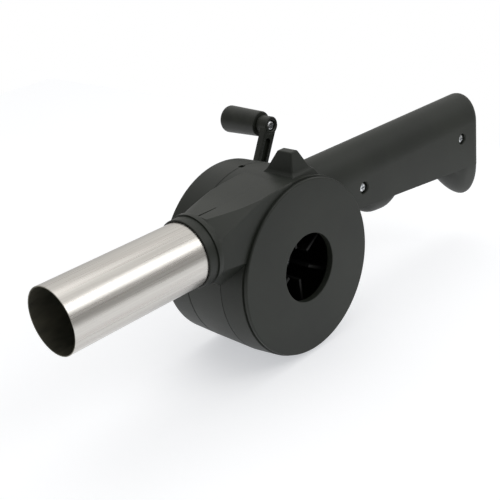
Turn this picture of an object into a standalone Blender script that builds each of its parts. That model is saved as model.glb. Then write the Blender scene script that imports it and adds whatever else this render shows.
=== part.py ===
"""Manual barbecue blower: a hand crank, a step-up gear train and a radial fan in a moulded casing.

Run with: blender --background --python part.py
Sizes are in metres. They are written in the drum frame: the fan turns about Y, the intake face is
the plane y = 0 and faces -Y, the nozzle points to -X, the handle to +X and +Z is up. At the end
every piece is moved so that the world origin is the middle of the object's underside.
"""

import math

import bmesh
import bpy
from mathutils import Matrix, Vector

# Clearances
FIT = 0.0003
SEAT = 0.0001
SEAM_GAP = 0.0003

# Drum: one wall thickness all over, and two seams square to the fan axis. Its sides are drafted
# both ways from the seam of the two casing halves, where it is widest.
WALL = 0.0022
DRUM_SEAM_RADIUS = 0.04945
SHOULDER_DRAFT = 0.00115
JOINT_DRAFT = 0.00045
END_DRAFT = 0.0005
DISC_STEP = 0.0008
DRUM_SHOULDER_RADIUS = DRUM_SEAM_RADIUS - SHOULDER_DRAFT
DRUM_JOINT_RADIUS = DRUM_SEAM_RADIUS - JOINT_DRAFT
DRUM_END_RADIUS = DRUM_JOINT_RADIUS - END_DRAFT
DISC_RADIUS = DRUM_SHOULDER_RADIUS - DISC_STEP
DISC_EDGE = 0.0008
DISC_RISE = 0.0018
CASING_SEAM_Y = 0.01625
COVER_SEAM_Y = 0.0420
DRUM_END_Y = 0.0605
COVER_EDGE = 0.0020
COVER_EDGE_STEPS = 3
INTAKE_HOLE_RADIUS = 0.0185
INTAKE_LIP = 0.0014
INTAKE_LIP_DEPTH = 0.0012
PARTITION = 0.0026
DRUM_STEPS = 64
HOLE_STEPS = 52
BOSS_STEPS = 32
BORE_STEPS = 24

# Nozzle: a thin steel tube held by its rolled bead in the collar
TUBE_RADIUS = 0.0164
TUBE_WALL = 0.0006
TUBE_AXIS_DROP = 0.01825
TUBE_AXIS_Z = DRUM_SEAM_RADIUS - TUBE_AXIS_DROP
TUBE_MOUTH_X = -0.1461
TUBE_INNER_END_X = -0.0633
TUBE_BEAD = 0.0005
TUBE_BEAD_LENGTH = 0.0010
TUBE_STEPS = 48
COLLAR_RADIUS = 0.0175
COLLAR_MOUTH_X = -0.0690
COLLAR_EDGE = 0.0004

# Duct: from a round mouth to a flat sided channel that joins the top of the drum
DUCT_MOUTH_X = -0.0636
DUCT_MOUTH_RADIUS = 0.0183
DUCT_START_X = -0.0610
DUCT_SQUARE_X = -0.0280
DUCT_END_X = -0.0060
DUCT_NEAR_Y = 0.0018
DUCT_FAR_Y = 0.0355
DUCT_TOP_DROP = 0.00275
DUCT_CROWN_DROP = 0.00065
DUCT_TOP_Z = DRUM_SEAM_RADIUS - DUCT_TOP_DROP
DUCT_CROWN_Z = DRUM_SEAM_RADIUS - DUCT_CROWN_DROP
DUCT_RISE_X = -0.0440
DUCT_CORNER = 0.0010
DUCT_MOUTH_RUN = 0.0026
DUCT_FAR_POWER = 1.5
DUCT_FLAT_CORNERS = (1, 2)
DUCT_FACET_END_X = -0.0250
DUCT_FACET_SLOPE_Y = 0.135
DUCT_FACET_CURVE_Y = 3.0
DUCT_FACET_SLOPE_Z = 0.160
DUCT_FACET_CURVE_Z = 4.5
DUCT_KEEL_X = -0.0570
DUCT_KEEL_SLOPE = 0.83
DUCT_FLANK_DEPTH = 0.0090
DUCT_FOOT_SLOPE = 0.13
DUCT_FLANK_FOOT_Z = TUBE_AXIS_Z - DUCT_FLANK_DEPTH
DUCT_FOOT_WIDTH = 0.0145
DUCT_STATIONS = 13
DUCT_STATION_POWER = 1.2
CORNER_POINTS = 5

# Handle: crowned grip with a finger bump near the drum and a hooked end
HANDLE_START_X = 0.0080
HANDLE_END_X = 0.1736
HANDLE_WIDTH = 0.0253
HANDLE_TOP_DROP = 0.00055
HANDLE_CROWN_HEIGHT = 0.0186
HANDLE_SIDE_HEIGHT = 0.0161
HANDLE_TOP_Z = DRUM_SEAM_RADIUS - HANDLE_TOP_DROP
HANDLE_TOP_SLOPE = 0.014
HANDLE_SHOULDER_Z = HANDLE_TOP_Z - HANDLE_CROWN_HEIGHT
HANDLE_FOOT_X = 0.0545
HANDLE_FOOT_Z = HANDLE_SHOULDER_Z - HANDLE_SIDE_HEIGHT
HANDLE_FOOT_SLOPE = 0.105
HANDLE_BELLY = 0.0012
HANDLE_END_ROUND = 0.0070
HANDLE_END_STEPS = 4
HANDLE_STATIONS = 34
HANDLE_CROWN_POINTS = 9
HANDLE_CORE_START_X = 0.0440
BUMP_X = 0.0730
BUMP_HALF_LENGTH = 0.0120
BUMP_DEPTH = 0.0082
BUMP_POWER = 4
HOOK_START_X = 0.1468
HOOK_DEPTH = 0.0214
HOOK_POWER = 0.7

# Lug on top of the drum, across the seam
LUG_SINK = 0.00545
LUG_RISE = 0.01165
LUG_FOOT_Z = DRUM_SEAM_RADIUS - LUG_SINK
LUG_TOP_Z = DRUM_SEAM_RADIUS + LUG_RISE
LUG_FOOT_LEFT_X = -0.0012
LUG_FOOT_RIGHT_X = 0.0178
LUG_TOP_LEFT_X = 0.0016
LUG_TOP_RIGHT_X = 0.0068
LUG_FOOT_NEAR_Y = 0.0058
LUG_FOOT_FAR_Y = 0.0290
LUG_TOP_NEAR_Y = 0.0076
LUG_TOP_FAR_Y = 0.0170
LUG_EDGE = 0.0007

# Handle screws, driven from the intake side
HANDLE_SCREW_NEAR_X = 0.0538
HANDLE_SCREW_NEAR_RISE = 0.0110
HANDLE_SCREW_NEAR_Z = HANDLE_FOOT_Z + HANDLE_SCREW_NEAR_RISE
HANDLE_SCREW_END_X = 0.1528
HANDLE_SCREW_END_RISE = 0.0093
HANDLE_SCREW_END_Z = HANDLE_FOOT_Z + HANDLE_SCREW_END_RISE
HANDLE_SCREW_SINK = 0.0030
HANDLE_SCREW_HEAD_RADIUS = 0.0029
HANDLE_SCREW_HEAD = 0.0017
HANDLE_SCREW_RADIUS = 0.0013
HANDLE_SCREW_LENGTH = 0.0170
HANDLE_POST_RADIUS = 0.0052
HEAD_CLEARANCE = 0.0004
SCREW_STEPS = 16

# Bearings and shafts
FAN_SHAFT_RADIUS = 0.0020
FAN_SHAFT_START_Y = 0.0165
FAN_BUSH_RADIUS = 0.0040
FAN_BUSH_LENGTH = 0.0050
FAN_BUSH_FLANGE_RADIUS = 0.0055
FAN_BUSH_FLANGE = 0.0010
BEARING_BOSS_RADIUS = 0.0070
BEARING_BOSS_START_Y = 0.0305
CRANK_AXIS_X = 0.0210
CRANK_AXIS_Z = 0.0
CRANK_SHAFT_RADIUS = 0.0030
CRANK_BUSH_RADIUS = 0.0050
CRANK_BUSH_FLANGE_RADIUS = 0.0068
CRANK_BUSH_FLANGE = 0.0010
CRANK_BOSS_RADIUS = 0.0090
CRANK_BOSS_RISE = 0.0014
CRANK_BOSS_DROP = 0.0010
CRANK_SOCKET_RADIUS = 0.0060
CRANK_SOCKET_RISE = 0.0040
SOCKET_FLOOR = 0.0015
IDLER_PIN_RADIUS = 0.0020
IDLER_SOCKET_RADIUS = 0.0045
IDLER_SOCKET_RISE = 0.0011
SHAFT_FLAT = 0.75

# Gears: spur teeth of one module, two stages. The crank gear's tips run close to the cover's wall.
GEAR_WALL_GAP = 0.00058
PRESSURE_ANGLE = math.radians(20)
ADDENDUM = 0.9
DEDENDUM = 1.2
PINION_SHIFT = 0.2
BACKLASH = 0.00025
PINION_FLANK_STEPS = 2
GEAR_FLANK_STEPS = 1
CRANK_GEAR_TEETH = 60
IDLER_PINION_TEETH = 12
IDLER_GEAR_TEETH = 45
FAN_PINION_TEETH = 12
GEAR_ROOM = DRUM_END_RADIUS - WALL - GEAR_WALL_GAP - CRANK_AXIS_X
MODULE = GEAR_ROOM / (CRANK_GEAR_TEETH / 2 + ADDENDUM)
LOWER_GEAR_START_Y = 0.0437
LOWER_GEAR_WIDTH = 0.0046
UPPER_GEAR_START_Y = 0.0500
UPPER_GEAR_WIDTH = 0.0058
CRANK_GEAR_HUB_RADIUS = 0.0070
GEAR_WEB = 0.0020
GEAR_RIM = 0.0030
IDLER_WASHER = 0.0005
IDLER_WASHER_RADIUS = 0.0040

# Impeller
IMPELLER_TIP_GAP = 0.0088
IMPELLER_RADIUS = DRUM_JOINT_RADIUS - WALL - IMPELLER_TIP_GAP
IMPELLER_PLATE = 0.0015
IMPELLER_PLATE_GAP = 0.0010
IMPELLER_HUB_RADIUS = 0.0100
IMPELLER_HUB_START_Y = 0.0200
IMPELLER_HUB_FLOOR = 0.0075
IMPELLER_HUB_TAPER = 0.0025
IMPELLER_BLADES = 6
IMPELLER_BLADE_THICKNESS = 0.0018
IMPELLER_BLADE_START_Y = 0.0080
IMPELLER_BLADE_ANGLE = math.radians(-28)
IMPELLER_HUB_GAP = 0.0010
NUT_ACROSS_CORNERS = 0.0070
NUT_HEIGHT = 0.0026

# Screw heads, as shares of the head's radius and height
PAN_FLAT = 0.75
PAN_ROUND = 0.33
SLOT_WIDTH = 0.25
SLOT_LENGTH = 1.0
SLOT_DEPTH = 0.5

# Gear cover screws
COVER_SCREW_ANGLES = (math.radians(45), math.radians(135), math.radians(225), math.radians(315))
COVER_SCREW_RADIUS = 0.0011
COVER_SCREW_HEAD_RADIUS = 0.0024
COVER_SCREW_HEAD = 0.0014
COVER_SCREW_LENGTH = 0.0120
COVER_POST_RADIUS = 0.0038
COVER_POST_SHY = 0.0010
COVER_SCREW_CIRCLE = DRUM_END_RADIUS - WALL - COVER_POST_RADIUS - COVER_POST_SHY
COVER_POST_END_Y = 0.0555

# Crank arm and grip
ARM_START_Y = 0.0645
ARM_THICKNESS = 0.0042
ARM_LENGTH = 0.0610
ARM_LEAN = math.radians(27.3)
ARM_HALF_WIDTH = 0.0046
ARM_END_RADIUS = 0.0052
ARM_HUB_RADIUS = 0.0080
ARM_HUB_START_Y = 0.0625
ARM_HUB_END_Y = 0.0722
ARM_HUB_ROOF = 0.0020
ARM_RECESS = 0.0014
ARM_RAIL = 0.0022
ARM_RECESS_SHY = 0.0042
ARM_EDGE = 0.0005
ARM_END_STEPS = 12
GRIP_BOSS_END_Y = 0.0721
GRIP_START_Y = 0.0724
GRIP_END_Y = 0.0994
GRIP_NEAR_RADIUS = 0.0073
GRIP_FAR_RADIUS = 0.0080
GRIP_EDGE = 0.0016
GRIP_EDGE_STEPS = 2
GRIP_SPIGOT_RADIUS = 0.0030
GRIP_SPIGOT_LENGTH = 0.0030
GRIP_SCREW_RADIUS = 0.0015
GRIP_SCREW_HEAD_RADIUS = 0.0027
GRIP_SCREW_HEAD = 0.0016
GRIP_SCREW_SINK = 0.0032
GRIP_SCREW_LENGTH = 0.0140
CRANK_SCREW_RADIUS = 0.0013
CRANK_SCREW_HEAD_RADIUS = 0.0030
CRANK_SCREW_HEAD = 0.0018
CRANK_SCREW_LENGTH = 0.0110
CRANK_WASHER_RADIUS = 0.0040
CRANK_WASHER = 0.0006
GRIP_STEPS = 36

OBJECT_NAME = "manual_barbecue_blower"
FULL_TURN = 2 * math.pi
CUT_MARGIN = 0.0020
FAR = 0.4000
MERGE = 0.000001
BITE = WALL / 2

# Places worked out from the driving dimensions
HANDLE_NEAR_Y = CASING_SEAM_Y - HANDLE_WIDTH / 2
IDLER_DISTANCE = MODULE * (CRANK_GEAR_TEETH + IDLER_PINION_TEETH) / 2
FAN_DISTANCE = MODULE * (IDLER_GEAR_TEETH + FAN_PINION_TEETH) / 2
PARTITION_START_Y = COVER_SEAM_Y - PARTITION
COVER_ROOF_Y = DRUM_END_Y - WALL
FAN_SHAFT_END_Y = LOWER_GEAR_START_Y + LOWER_GEAR_WIDTH + FIT
LOWER_GEAR_END_Y = LOWER_GEAR_START_Y + LOWER_GEAR_WIDTH
UPPER_GEAR_END_Y = UPPER_GEAR_START_Y + UPPER_GEAR_WIDTH


def idler_centre():
    """Where the idler turns: below the line from the fan axis to the crank axis."""
    span = math.hypot(CRANK_AXIS_X, CRANK_AXIS_Z)
    along = (FAN_DISTANCE**2 - IDLER_DISTANCE**2 + span**2) / (2 * span)
    aside = math.sqrt(FAN_DISTANCE**2 - along**2)
    ux = CRANK_AXIS_X / span
    uz = CRANK_AXIS_Z / span
    return (along * ux + aside * uz, along * uz - aside * ux)


def grip_centre():
    """Where the grip turns, at the far end of the crank arm."""
    return (
        CRANK_AXIS_X + ARM_LENGTH * math.sin(ARM_LEAN),
        CRANK_AXIS_Z + ARM_LENGTH * math.cos(ARM_LEAN),
    )


FAN_AXIS = (0.0, 0.0)
CRANK_AXIS = (CRANK_AXIS_X, CRANK_AXIS_Z)
IDLER_AXIS = idler_centre()
GRIP_AXIS = grip_centre()


def row_origin():
    """The middle of the underside of the object's bounding box, in the drum frame."""
    near = CASING_SEAM_Y - DUCT_MOUTH_RADIUS
    return Vector(
        ((TUBE_MOUTH_X + HANDLE_END_X) / 2, (near + GRIP_END_Y) / 2, -DRUM_SEAM_RADIUS)
    )


def start_scene():
    """Empties the scene and makes one collection for the parts and one for the cutters."""
    for item in list(bpy.data.objects):
        bpy.data.objects.remove(item, do_unlink=True)
    for name in (OBJECT_NAME, "cutters"):
        collection = bpy.data.collections.new(name)
        bpy.context.scene.collection.children.link(collection)


def add_object(name, mesh, cutter=False):
    item = bpy.data.objects.new(name, mesh)
    collection = bpy.data.collections["cutters" if cutter else OBJECT_NAME]
    collection.objects.link(item)
    if cutter:
        item.display_type = "WIRE"
        item.hide_render = True
    return item


def mesh_from(name, build):
    mesh = bpy.data.meshes.new(name)
    work = bmesh.new()
    build(work)
    bmesh.ops.recalc_face_normals(work, faces=work.faces)
    work.to_mesh(mesh)
    work.free()
    return mesh


def along_y(centre, start, end):
    """Turns a cylinder or cone along local Z to run along Y from start to end."""
    middle = Vector((centre[0], (start + end) / 2, centre[1]))
    return Matrix.Translation(middle) @ Matrix.Rotation(-math.pi / 2, 4, "X")


def rod(name, centre, radius, start, end, cutter=False, steps=SCREW_STEPS, end_radius=None):
    """A cylinder or cone frustum along Y."""

    def build(work):
        bmesh.ops.create_cone(
            work,
            cap_ends=True,
            segments=steps,
            radius1=radius,
            radius2=radius if end_radius is None else end_radius,
            depth=end - start,
            matrix=along_y(centre, start, end),
        )

    return add_object(name, mesh_from(name, build), cutter)


def rod_along_x(name, radius, start, end, cutter=False, steps=TUBE_STEPS):
    """A cylinder along X on the nozzle's axis."""
    middle = Vector(((start + end) / 2, CASING_SEAM_Y, TUBE_AXIS_Z))

    def build(work):
        bmesh.ops.create_cone(
            work,
            cap_ends=True,
            segments=steps,
            radius1=radius,
            radius2=radius,
            depth=end - start,
            matrix=Matrix.Translation(middle) @ Matrix.Rotation(math.pi / 2, 4, "Y"),
        )

    return add_object(name, mesh_from(name, build), cutter)


def box(name, low, high, cutter=True):
    low = Vector(low)
    high = Vector(high)
    size = high - low

    def build(work):
        bmesh.ops.create_cube(work, size=1.0)
        scale = Matrix.Diagonal((size.x, size.y, size.z, 1.0))
        work.transform(Matrix.Translation((low + high) / 2) @ scale)

    return add_object(name, mesh_from(name, build), cutter)


def loft(name, rings, cutter=False):
    """A closed solid through rings of equal point counts, with flat ends."""

    def build(work):
        rows = [[work.verts.new(point) for point in ring] for ring in rings]
        for before, after in zip(rows, rows[1:]):
            for index, vertex in enumerate(before):
                follow = (index + 1) % len(before)
                work.faces.new((vertex, before[follow], after[follow], after[index]))
        work.faces.new(rows[0][::-1])
        work.faces.new(rows[-1])

    return add_object(name, mesh_from(name, build), cutter)


def turned(name, profile, centre=FAN_AXIS, steps=DRUM_STEPS, cutter=False):
    """A shape turned about Y from (radius, y) points, from its far end down its outer side."""
    mesh = bpy.data.meshes.new(name)
    edges = [(index, index + 1) for index in range(len(profile) - 1)]
    closed = min(radius for radius, _ in profile) > MERGE
    if closed:
        edges.append((len(profile) - 1, 0))
    mesh.from_pydata([(radius, 0.0, height) for radius, height in profile], edges, [])
    item = add_object(name, mesh, cutter)
    item.location = (centre[0], 0.0, centre[1])
    item.rotation_euler = (-math.pi / 2, 0.0, 0.0)
    screw = item.modifiers.new("Turn", "SCREW")
    screw.steps = steps
    screw.render_steps = steps
    screw.use_merge_vertices = True
    screw.merge_threshold = MERGE
    return item


def plate(name, outlines, centre, start, end, cutter=False):
    """A flat outline in the XZ plane, with any holes, made a solid from start to end along Y."""
    curve = bpy.data.curves.new(name, "CURVE")
    curve.dimensions = "2D"
    curve.fill_mode = "BOTH"
    curve.extrude = (end - start) / 2
    for outline in outlines:
        spline = curve.splines.new("POLY")
        spline.points.add(len(outline) - 1)
        for point, (x, z) in zip(spline.points, outline):
            point.co = (x, z, 0.0, 1.0)
        spline.use_cyclic_u = True
    drawn = add_object(name + "_outline", curve, True)
    drawn.rotation_euler = (math.pi / 2, 0.0, 0.0)
    drawn.location = (centre[0], (start + end) / 2, centre[1])
    bpy.context.view_layer.update()
    graph = bpy.context.evaluated_depsgraph_get()
    mesh = bpy.data.meshes.new_from_object(drawn.evaluated_get(graph))
    mesh.name = name
    matrix = drawn.matrix_world.copy()
    work = bmesh.new()
    work.from_mesh(mesh)
    bmesh.ops.remove_doubles(work, verts=work.verts, dist=MERGE)
    bmesh.ops.transform(work, matrix=matrix, verts=work.verts)
    bmesh.ops.recalc_face_normals(work, faces=work.faces)
    work.to_mesh(mesh)
    work.free()
    bpy.data.objects.remove(drawn, do_unlink=True)
    return add_object(name, mesh, cutter)


def combine(target, tool, operation):
    modifier = target.modifiers.new(tool.name, "BOOLEAN")
    modifier.operation = operation
    modifier.solver = "EXACT"
    modifier.object = tool
    return target


def join(target, *tools):
    for tool in tools:
        combine(target, tool, "UNION")
    return target


def cut(target, *tools):
    for tool in tools:
        combine(target, tool, "DIFFERENCE")
    return target


def round_edges(item, width, segments=2, angle=math.radians(35)):
    bevel = item.modifiers.new("Edges", "BEVEL")
    bevel.width = width
    bevel.segments = segments
    bevel.limit_method = "ANGLE"
    bevel.angle_limit = angle
    return item


def finish(item, colour, roughness, metallic=0.0):
    """Gives a part its own material."""
    material = bpy.data.materials.new(item.name)
    material.use_nodes = True
    shader = material.node_tree.nodes["Principled BSDF"]
    shader.inputs["Base Color"].default_value = (*colour, 1.0)
    shader.inputs["Roughness"].default_value = roughness
    shader.inputs["Metallic"].default_value = metallic
    item.data.materials.clear()
    item.data.materials.append(material)
    return item


CASING_COLOUR = (0.045, 0.050, 0.045)
CRANK_COLOUR = (0.012, 0.013, 0.012)
STEEL_COLOUR = (0.62, 0.61, 0.58)
BRONZE_COLOUR = (0.42, 0.27, 0.12)
GEAR_COLOUR = (0.62, 0.60, 0.54)
FAN_COLOUR = (0.020, 0.020, 0.020)


def casing(item):
    return finish(item, CASING_COLOUR, 0.55)


def steel(item):
    return finish(item, STEEL_COLOUR, 0.28, 1.0)


def bronze(item):
    return finish(item, BRONZE_COLOUR, 0.40, 1.0)


def nylon(item):
    return finish(item, GEAR_COLOUR, 0.50)


def black(item):
    return finish(item, CRANK_COLOUR, 0.35)


def circle(radius, steps, phase=0.0):
    angles = [phase + FULL_TURN * step / steps for step in range(steps)]
    return [(radius * math.cos(angle), radius * math.sin(angle)) for angle in angles]


def flatted_circle(radius, flat, steps=BORE_STEPS):
    """A circle with one flat on its +X side, for a shaft's end or the bore that it fits."""
    start = math.acos(flat / radius)
    sweep = FULL_TURN - 2 * start
    angles = [start + sweep * step / steps for step in range(steps + 1)]
    return [(radius * math.cos(angle), radius * math.sin(angle)) for angle in angles]


def shaft_flat(radius):
    return radius * SHAFT_FLAT


def involute(angle):
    return math.tan(angle) - angle


def gear_tip_radius(teeth, shift):
    return MODULE * (teeth / 2 + ADDENDUM + shift)


def gear_outline(teeth, shift, phase, flank_steps):
    """The outline of a spur gear with a tooth centred on the angle phase."""
    pitch = MODULE * teeth / 2
    base = pitch * math.cos(PRESSURE_ANGLE)
    tip = gear_tip_radius(teeth, shift)
    root = pitch - (DEDENDUM - shift) * MODULE
    shifted = 2 * shift * math.tan(PRESSURE_ANGLE) / teeth
    half = math.pi / (2 * teeth) + shifted - BACKLASH / (4 * pitch)

    def half_angle(radius):
        roll = math.acos(base / radius) if radius > base else 0.0
        return half + involute(PRESSURE_ANGLE) - involute(roll)

    foot = max(base, root)
    side = [(root, half_angle(foot))] if root < base else []
    for step in range(flank_steps + 1):
        radius = foot + (tip - foot) * step / flank_steps
        side.append((radius, half_angle(radius)))
    outline = []
    for tooth in range(teeth):
        middle = phase + FULL_TURN * tooth / teeth
        flank = [(radius, middle - angle) for radius, angle in side]
        flank += [(radius, middle + angle) for radius, angle in reversed(side)]
        outline += [(radius * math.cos(angle), radius * math.sin(angle)) for radius, angle in flank]
    return outline


def bearing_angle(origin, target):
    return math.atan2(target[1] - origin[1], target[0] - origin[0])


def blend(start, end, share):
    return start + (end - start) * share


def smooth(share):
    share = min(1.0, max(0.0, share))
    return share * share * (3 - 2 * share)


def facet_reach(x, slope, curve):
    """How far the facet of the duct's near top edge reaches at x: it runs out towards the drum."""
    left = max(0.0, DUCT_FACET_END_X - x)
    return left * (slope + curve * left)


def duct_ring(x, inset):
    """The duct's section at x, drawn in by inset: round at the mouth, then with two flat corners."""
    past = max(0.0, x - DUCT_START_X)
    left = 1 - min(1.0, past / (DUCT_SQUARE_X - DUCT_START_X))
    flat = smooth(past / DUCT_MOUTH_RUN)
    mouth = DUCT_MOUTH_RADIUS
    near = blend(CASING_SEAM_Y - mouth, DUCT_NEAR_Y, flat) + inset
    far = blend(CASING_SEAM_Y + mouth, DUCT_FAR_Y, flat) - inset
    rise = smooth((x - DUCT_RISE_X) / (DUCT_END_X - DUCT_RISE_X))
    top = blend(TUBE_AXIS_Z + mouth, blend(DUCT_TOP_Z, DUCT_CROWN_Z, rise), flat) - inset
    keel = TUBE_AXIS_Z - mouth - max(0.0, x - DUCT_KEEL_X) * DUCT_KEEL_SLOPE
    bottom = keel + inset
    foot = blend(TUBE_AXIS_Z, DUCT_FLANK_FOOT_Z - past * DUCT_FOOT_SLOPE, flat)
    least = DUCT_CORNER / 2
    facet_y = facet_reach(x, DUCT_FACET_SLOPE_Y, DUCT_FACET_CURVE_Y)
    facet_z = facet_reach(x, DUCT_FACET_SLOPE_Z, DUCT_FACET_CURVE_Z)
    far_corner = max(blend(DUCT_CORNER, mouth, left**DUCT_FAR_POWER) - inset, least)
    far_z = min(far_corner, top - foot)
    near_y = max(blend(mouth, facet_y, flat) - inset, least)
    near_z = min(max(blend(mouth, facet_z, flat) - inset, least), top - foot)
    lower_y = min(blend(mouth, DUCT_FOOT_WIDTH, flat) - inset, (far - near) / 2)
    lower_z = max(foot - bottom, least)
    corners = (
        (far - far_corner, top - far_z, far_corner, far_z),
        (near + near_y, top - near_z, near_y, near_z),
        (near + lower_y, bottom + lower_z, lower_y, lower_z),
        (far - lower_y, bottom + lower_z, lower_y, lower_z),
    )
    ring = []
    for index, (y, z, reach_y, reach_z) in enumerate(corners):
        start = index * math.pi / 2
        end = start + math.pi / 2
        chord = flat if index in DUCT_FLAT_CORNERS else 0.0
        for step in range(CORNER_POINTS):
            angle = blend(start, end, (step + 0.5) / CORNER_POINTS)
            share = step / (CORNER_POINTS - 1)
            side = blend(math.cos(angle), blend(math.cos(start), math.cos(end), share), chord)
            height = blend(math.sin(angle), blend(math.sin(start), math.sin(end), share), chord)
            ring.append(Vector((x, y + reach_y * side, z + reach_z * height)))
    return ring


def duct(name, inset, start):
    shares = [(step / DUCT_STATIONS) ** DUCT_STATION_POWER for step in range(DUCT_STATIONS + 1)]
    return loft(name, [duct_ring(blend(start, DUCT_END_X, share), inset) for share in shares], cutter=True)


def handle_foot(x):
    """Height of the lower edge of the handle's flat side."""
    return HANDLE_FOOT_Z - HANDLE_FOOT_SLOPE * (x - HANDLE_FOOT_X)


def handle_top(x):
    """Height of the handle's crown."""
    return HANDLE_TOP_Z - HANDLE_TOP_SLOPE * (x - HANDLE_FOOT_X)


def handle_belly(x):
    """How far the underside hangs below the flat sides, with the finger bump and the hook."""
    reach = (x - BUMP_X) / BUMP_HALF_LENGTH
    bump = BUMP_DEPTH * max(0.0, 1 - reach**BUMP_POWER)
    turn = min(1.0, max(0.0, (x - HOOK_START_X) / (HANDLE_END_X - HOOK_START_X)))
    hook = HOOK_DEPTH * math.sin(turn * math.pi / 2) ** HOOK_POWER
    return HANDLE_BELLY + bump + hook


def handle_ring(x, inset):
    """The handle's section at x: flat sides between a high crown and the shaped belly."""
    half = HANDLE_WIDTH / 2 - inset
    crown = handle_top(x) - HANDLE_SHOULDER_Z - inset
    belly = max(handle_belly(x) - inset, WALL / 2)
    foot = handle_foot(x)
    points = []
    for step in range(HANDLE_CROWN_POINTS + 1):
        angle = math.pi * step / HANDLE_CROWN_POINTS
        points.append((half * math.cos(angle), HANDLE_SHOULDER_Z + crown * math.sin(angle)))
    for step in range(HANDLE_CROWN_POINTS + 1):
        angle = math.pi + math.pi * step / HANDLE_CROWN_POINTS
        points.append((half * math.cos(angle), foot + belly * math.sin(angle)))
    return [Vector((x, CASING_SEAM_Y + y, z)) for y, z in points]


def handle(name, inset, start):
    end = HANDLE_END_X - inset
    flat = end - HANDLE_END_ROUND
    rings = [
        handle_ring(blend(start, flat, step / HANDLE_STATIONS), inset)
        for step in range(HANDLE_STATIONS + 1)
    ]
    for step in range(HANDLE_END_STEPS):
        turn = math.pi / 2 * (step + 1) / HANDLE_END_STEPS
        x = flat + HANDLE_END_ROUND * math.sin(turn)
        rings.append(handle_ring(x, inset + HANDLE_END_ROUND * (1 - math.cos(turn))))
    return loft(name, rings, cutter=True)


def lug():
    """The tapered block on top of the drum."""
    foot = (
        (LUG_FOOT_LEFT_X, LUG_FOOT_NEAR_Y),
        (LUG_FOOT_RIGHT_X, LUG_FOOT_NEAR_Y),
        (LUG_FOOT_RIGHT_X, LUG_FOOT_FAR_Y),
        (LUG_FOOT_LEFT_X, LUG_FOOT_FAR_Y),
    )
    top = (
        (LUG_TOP_LEFT_X, LUG_TOP_NEAR_Y),
        (LUG_TOP_RIGHT_X, LUG_TOP_NEAR_Y),
        (LUG_TOP_RIGHT_X, LUG_TOP_FAR_Y),
        (LUG_TOP_LEFT_X, LUG_TOP_FAR_Y),
    )
    rings = [
        [Vector((x, y, LUG_FOOT_Z)) for x, y in foot],
        [Vector((x, y, LUG_TOP_Z)) for x, y in top],
    ]
    return round_edges(loft("lug_form", rings, cutter=True), LUG_EDGE)


def handle_screws():
    return (
        (HANDLE_SCREW_NEAR_X, HANDLE_SCREW_NEAR_Z),
        (HANDLE_SCREW_END_X, HANDLE_SCREW_END_Z),
    )


def cover_screws():
    return [
        (COVER_SCREW_CIRCLE * math.cos(angle), COVER_SCREW_CIRCLE * math.sin(angle))
        for angle in COVER_SCREW_ANGLES
    ]


def casing_forms():
    """The outer forms and the hollows that the two casing shells share."""
    outer = [
        duct("duct_form", 0.0, DUCT_MOUTH_X),
        rod_along_x("collar_form", COLLAR_RADIUS, COLLAR_MOUTH_X, DUCT_MOUTH_X + WALL, True),
        handle("handle_form", 0.0, HANDLE_START_X),
        lug(),
    ]
    round_edges(outer[1], COLLAR_EDGE)
    seat = TUBE_RADIUS + FIT
    bead = TUBE_RADIUS + TUBE_BEAD + FIT
    bead_end = TUBE_INNER_END_X + FIT
    bead_start = TUBE_INNER_END_X - TUBE_BEAD_LENGTH - FIT
    core = handle("handle_hollow", WALL, HANDLE_CORE_START_X)
    cut(core, rod("drum_guard", FAN_AXIS, DRUM_SEAM_RADIUS, -FAR, FAR, True, DRUM_STEPS))
    hollows = [
        turned(
            "drum_hollow",
            (
                (0.0, PARTITION_START_Y),
                (DRUM_JOINT_RADIUS - WALL, PARTITION_START_Y),
                (DRUM_SEAM_RADIUS - WALL, CASING_SEAM_Y),
                (DRUM_SHOULDER_RADIUS - WALL, WALL),
                (0.0, WALL),
            ),
            cutter=True,
        ),
        duct("duct_hollow", WALL, TUBE_INNER_END_X),
        rod_along_x("tube_seat", seat, COLLAR_MOUTH_X - CUT_MARGIN, bead_end, True),
        rod_along_x("bead_groove", bead, bead_start, bead_end, True),
        core,
    ]
    return outer, hollows


def shell_posts(name, start, end):
    posts = []
    for index, centre in enumerate(handle_screws()):
        post = rod(f"{name}_post_{index}", centre, HANDLE_POST_RADIUS, start, end, True, BORE_STEPS)
        posts.append(post)
    return posts


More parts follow.
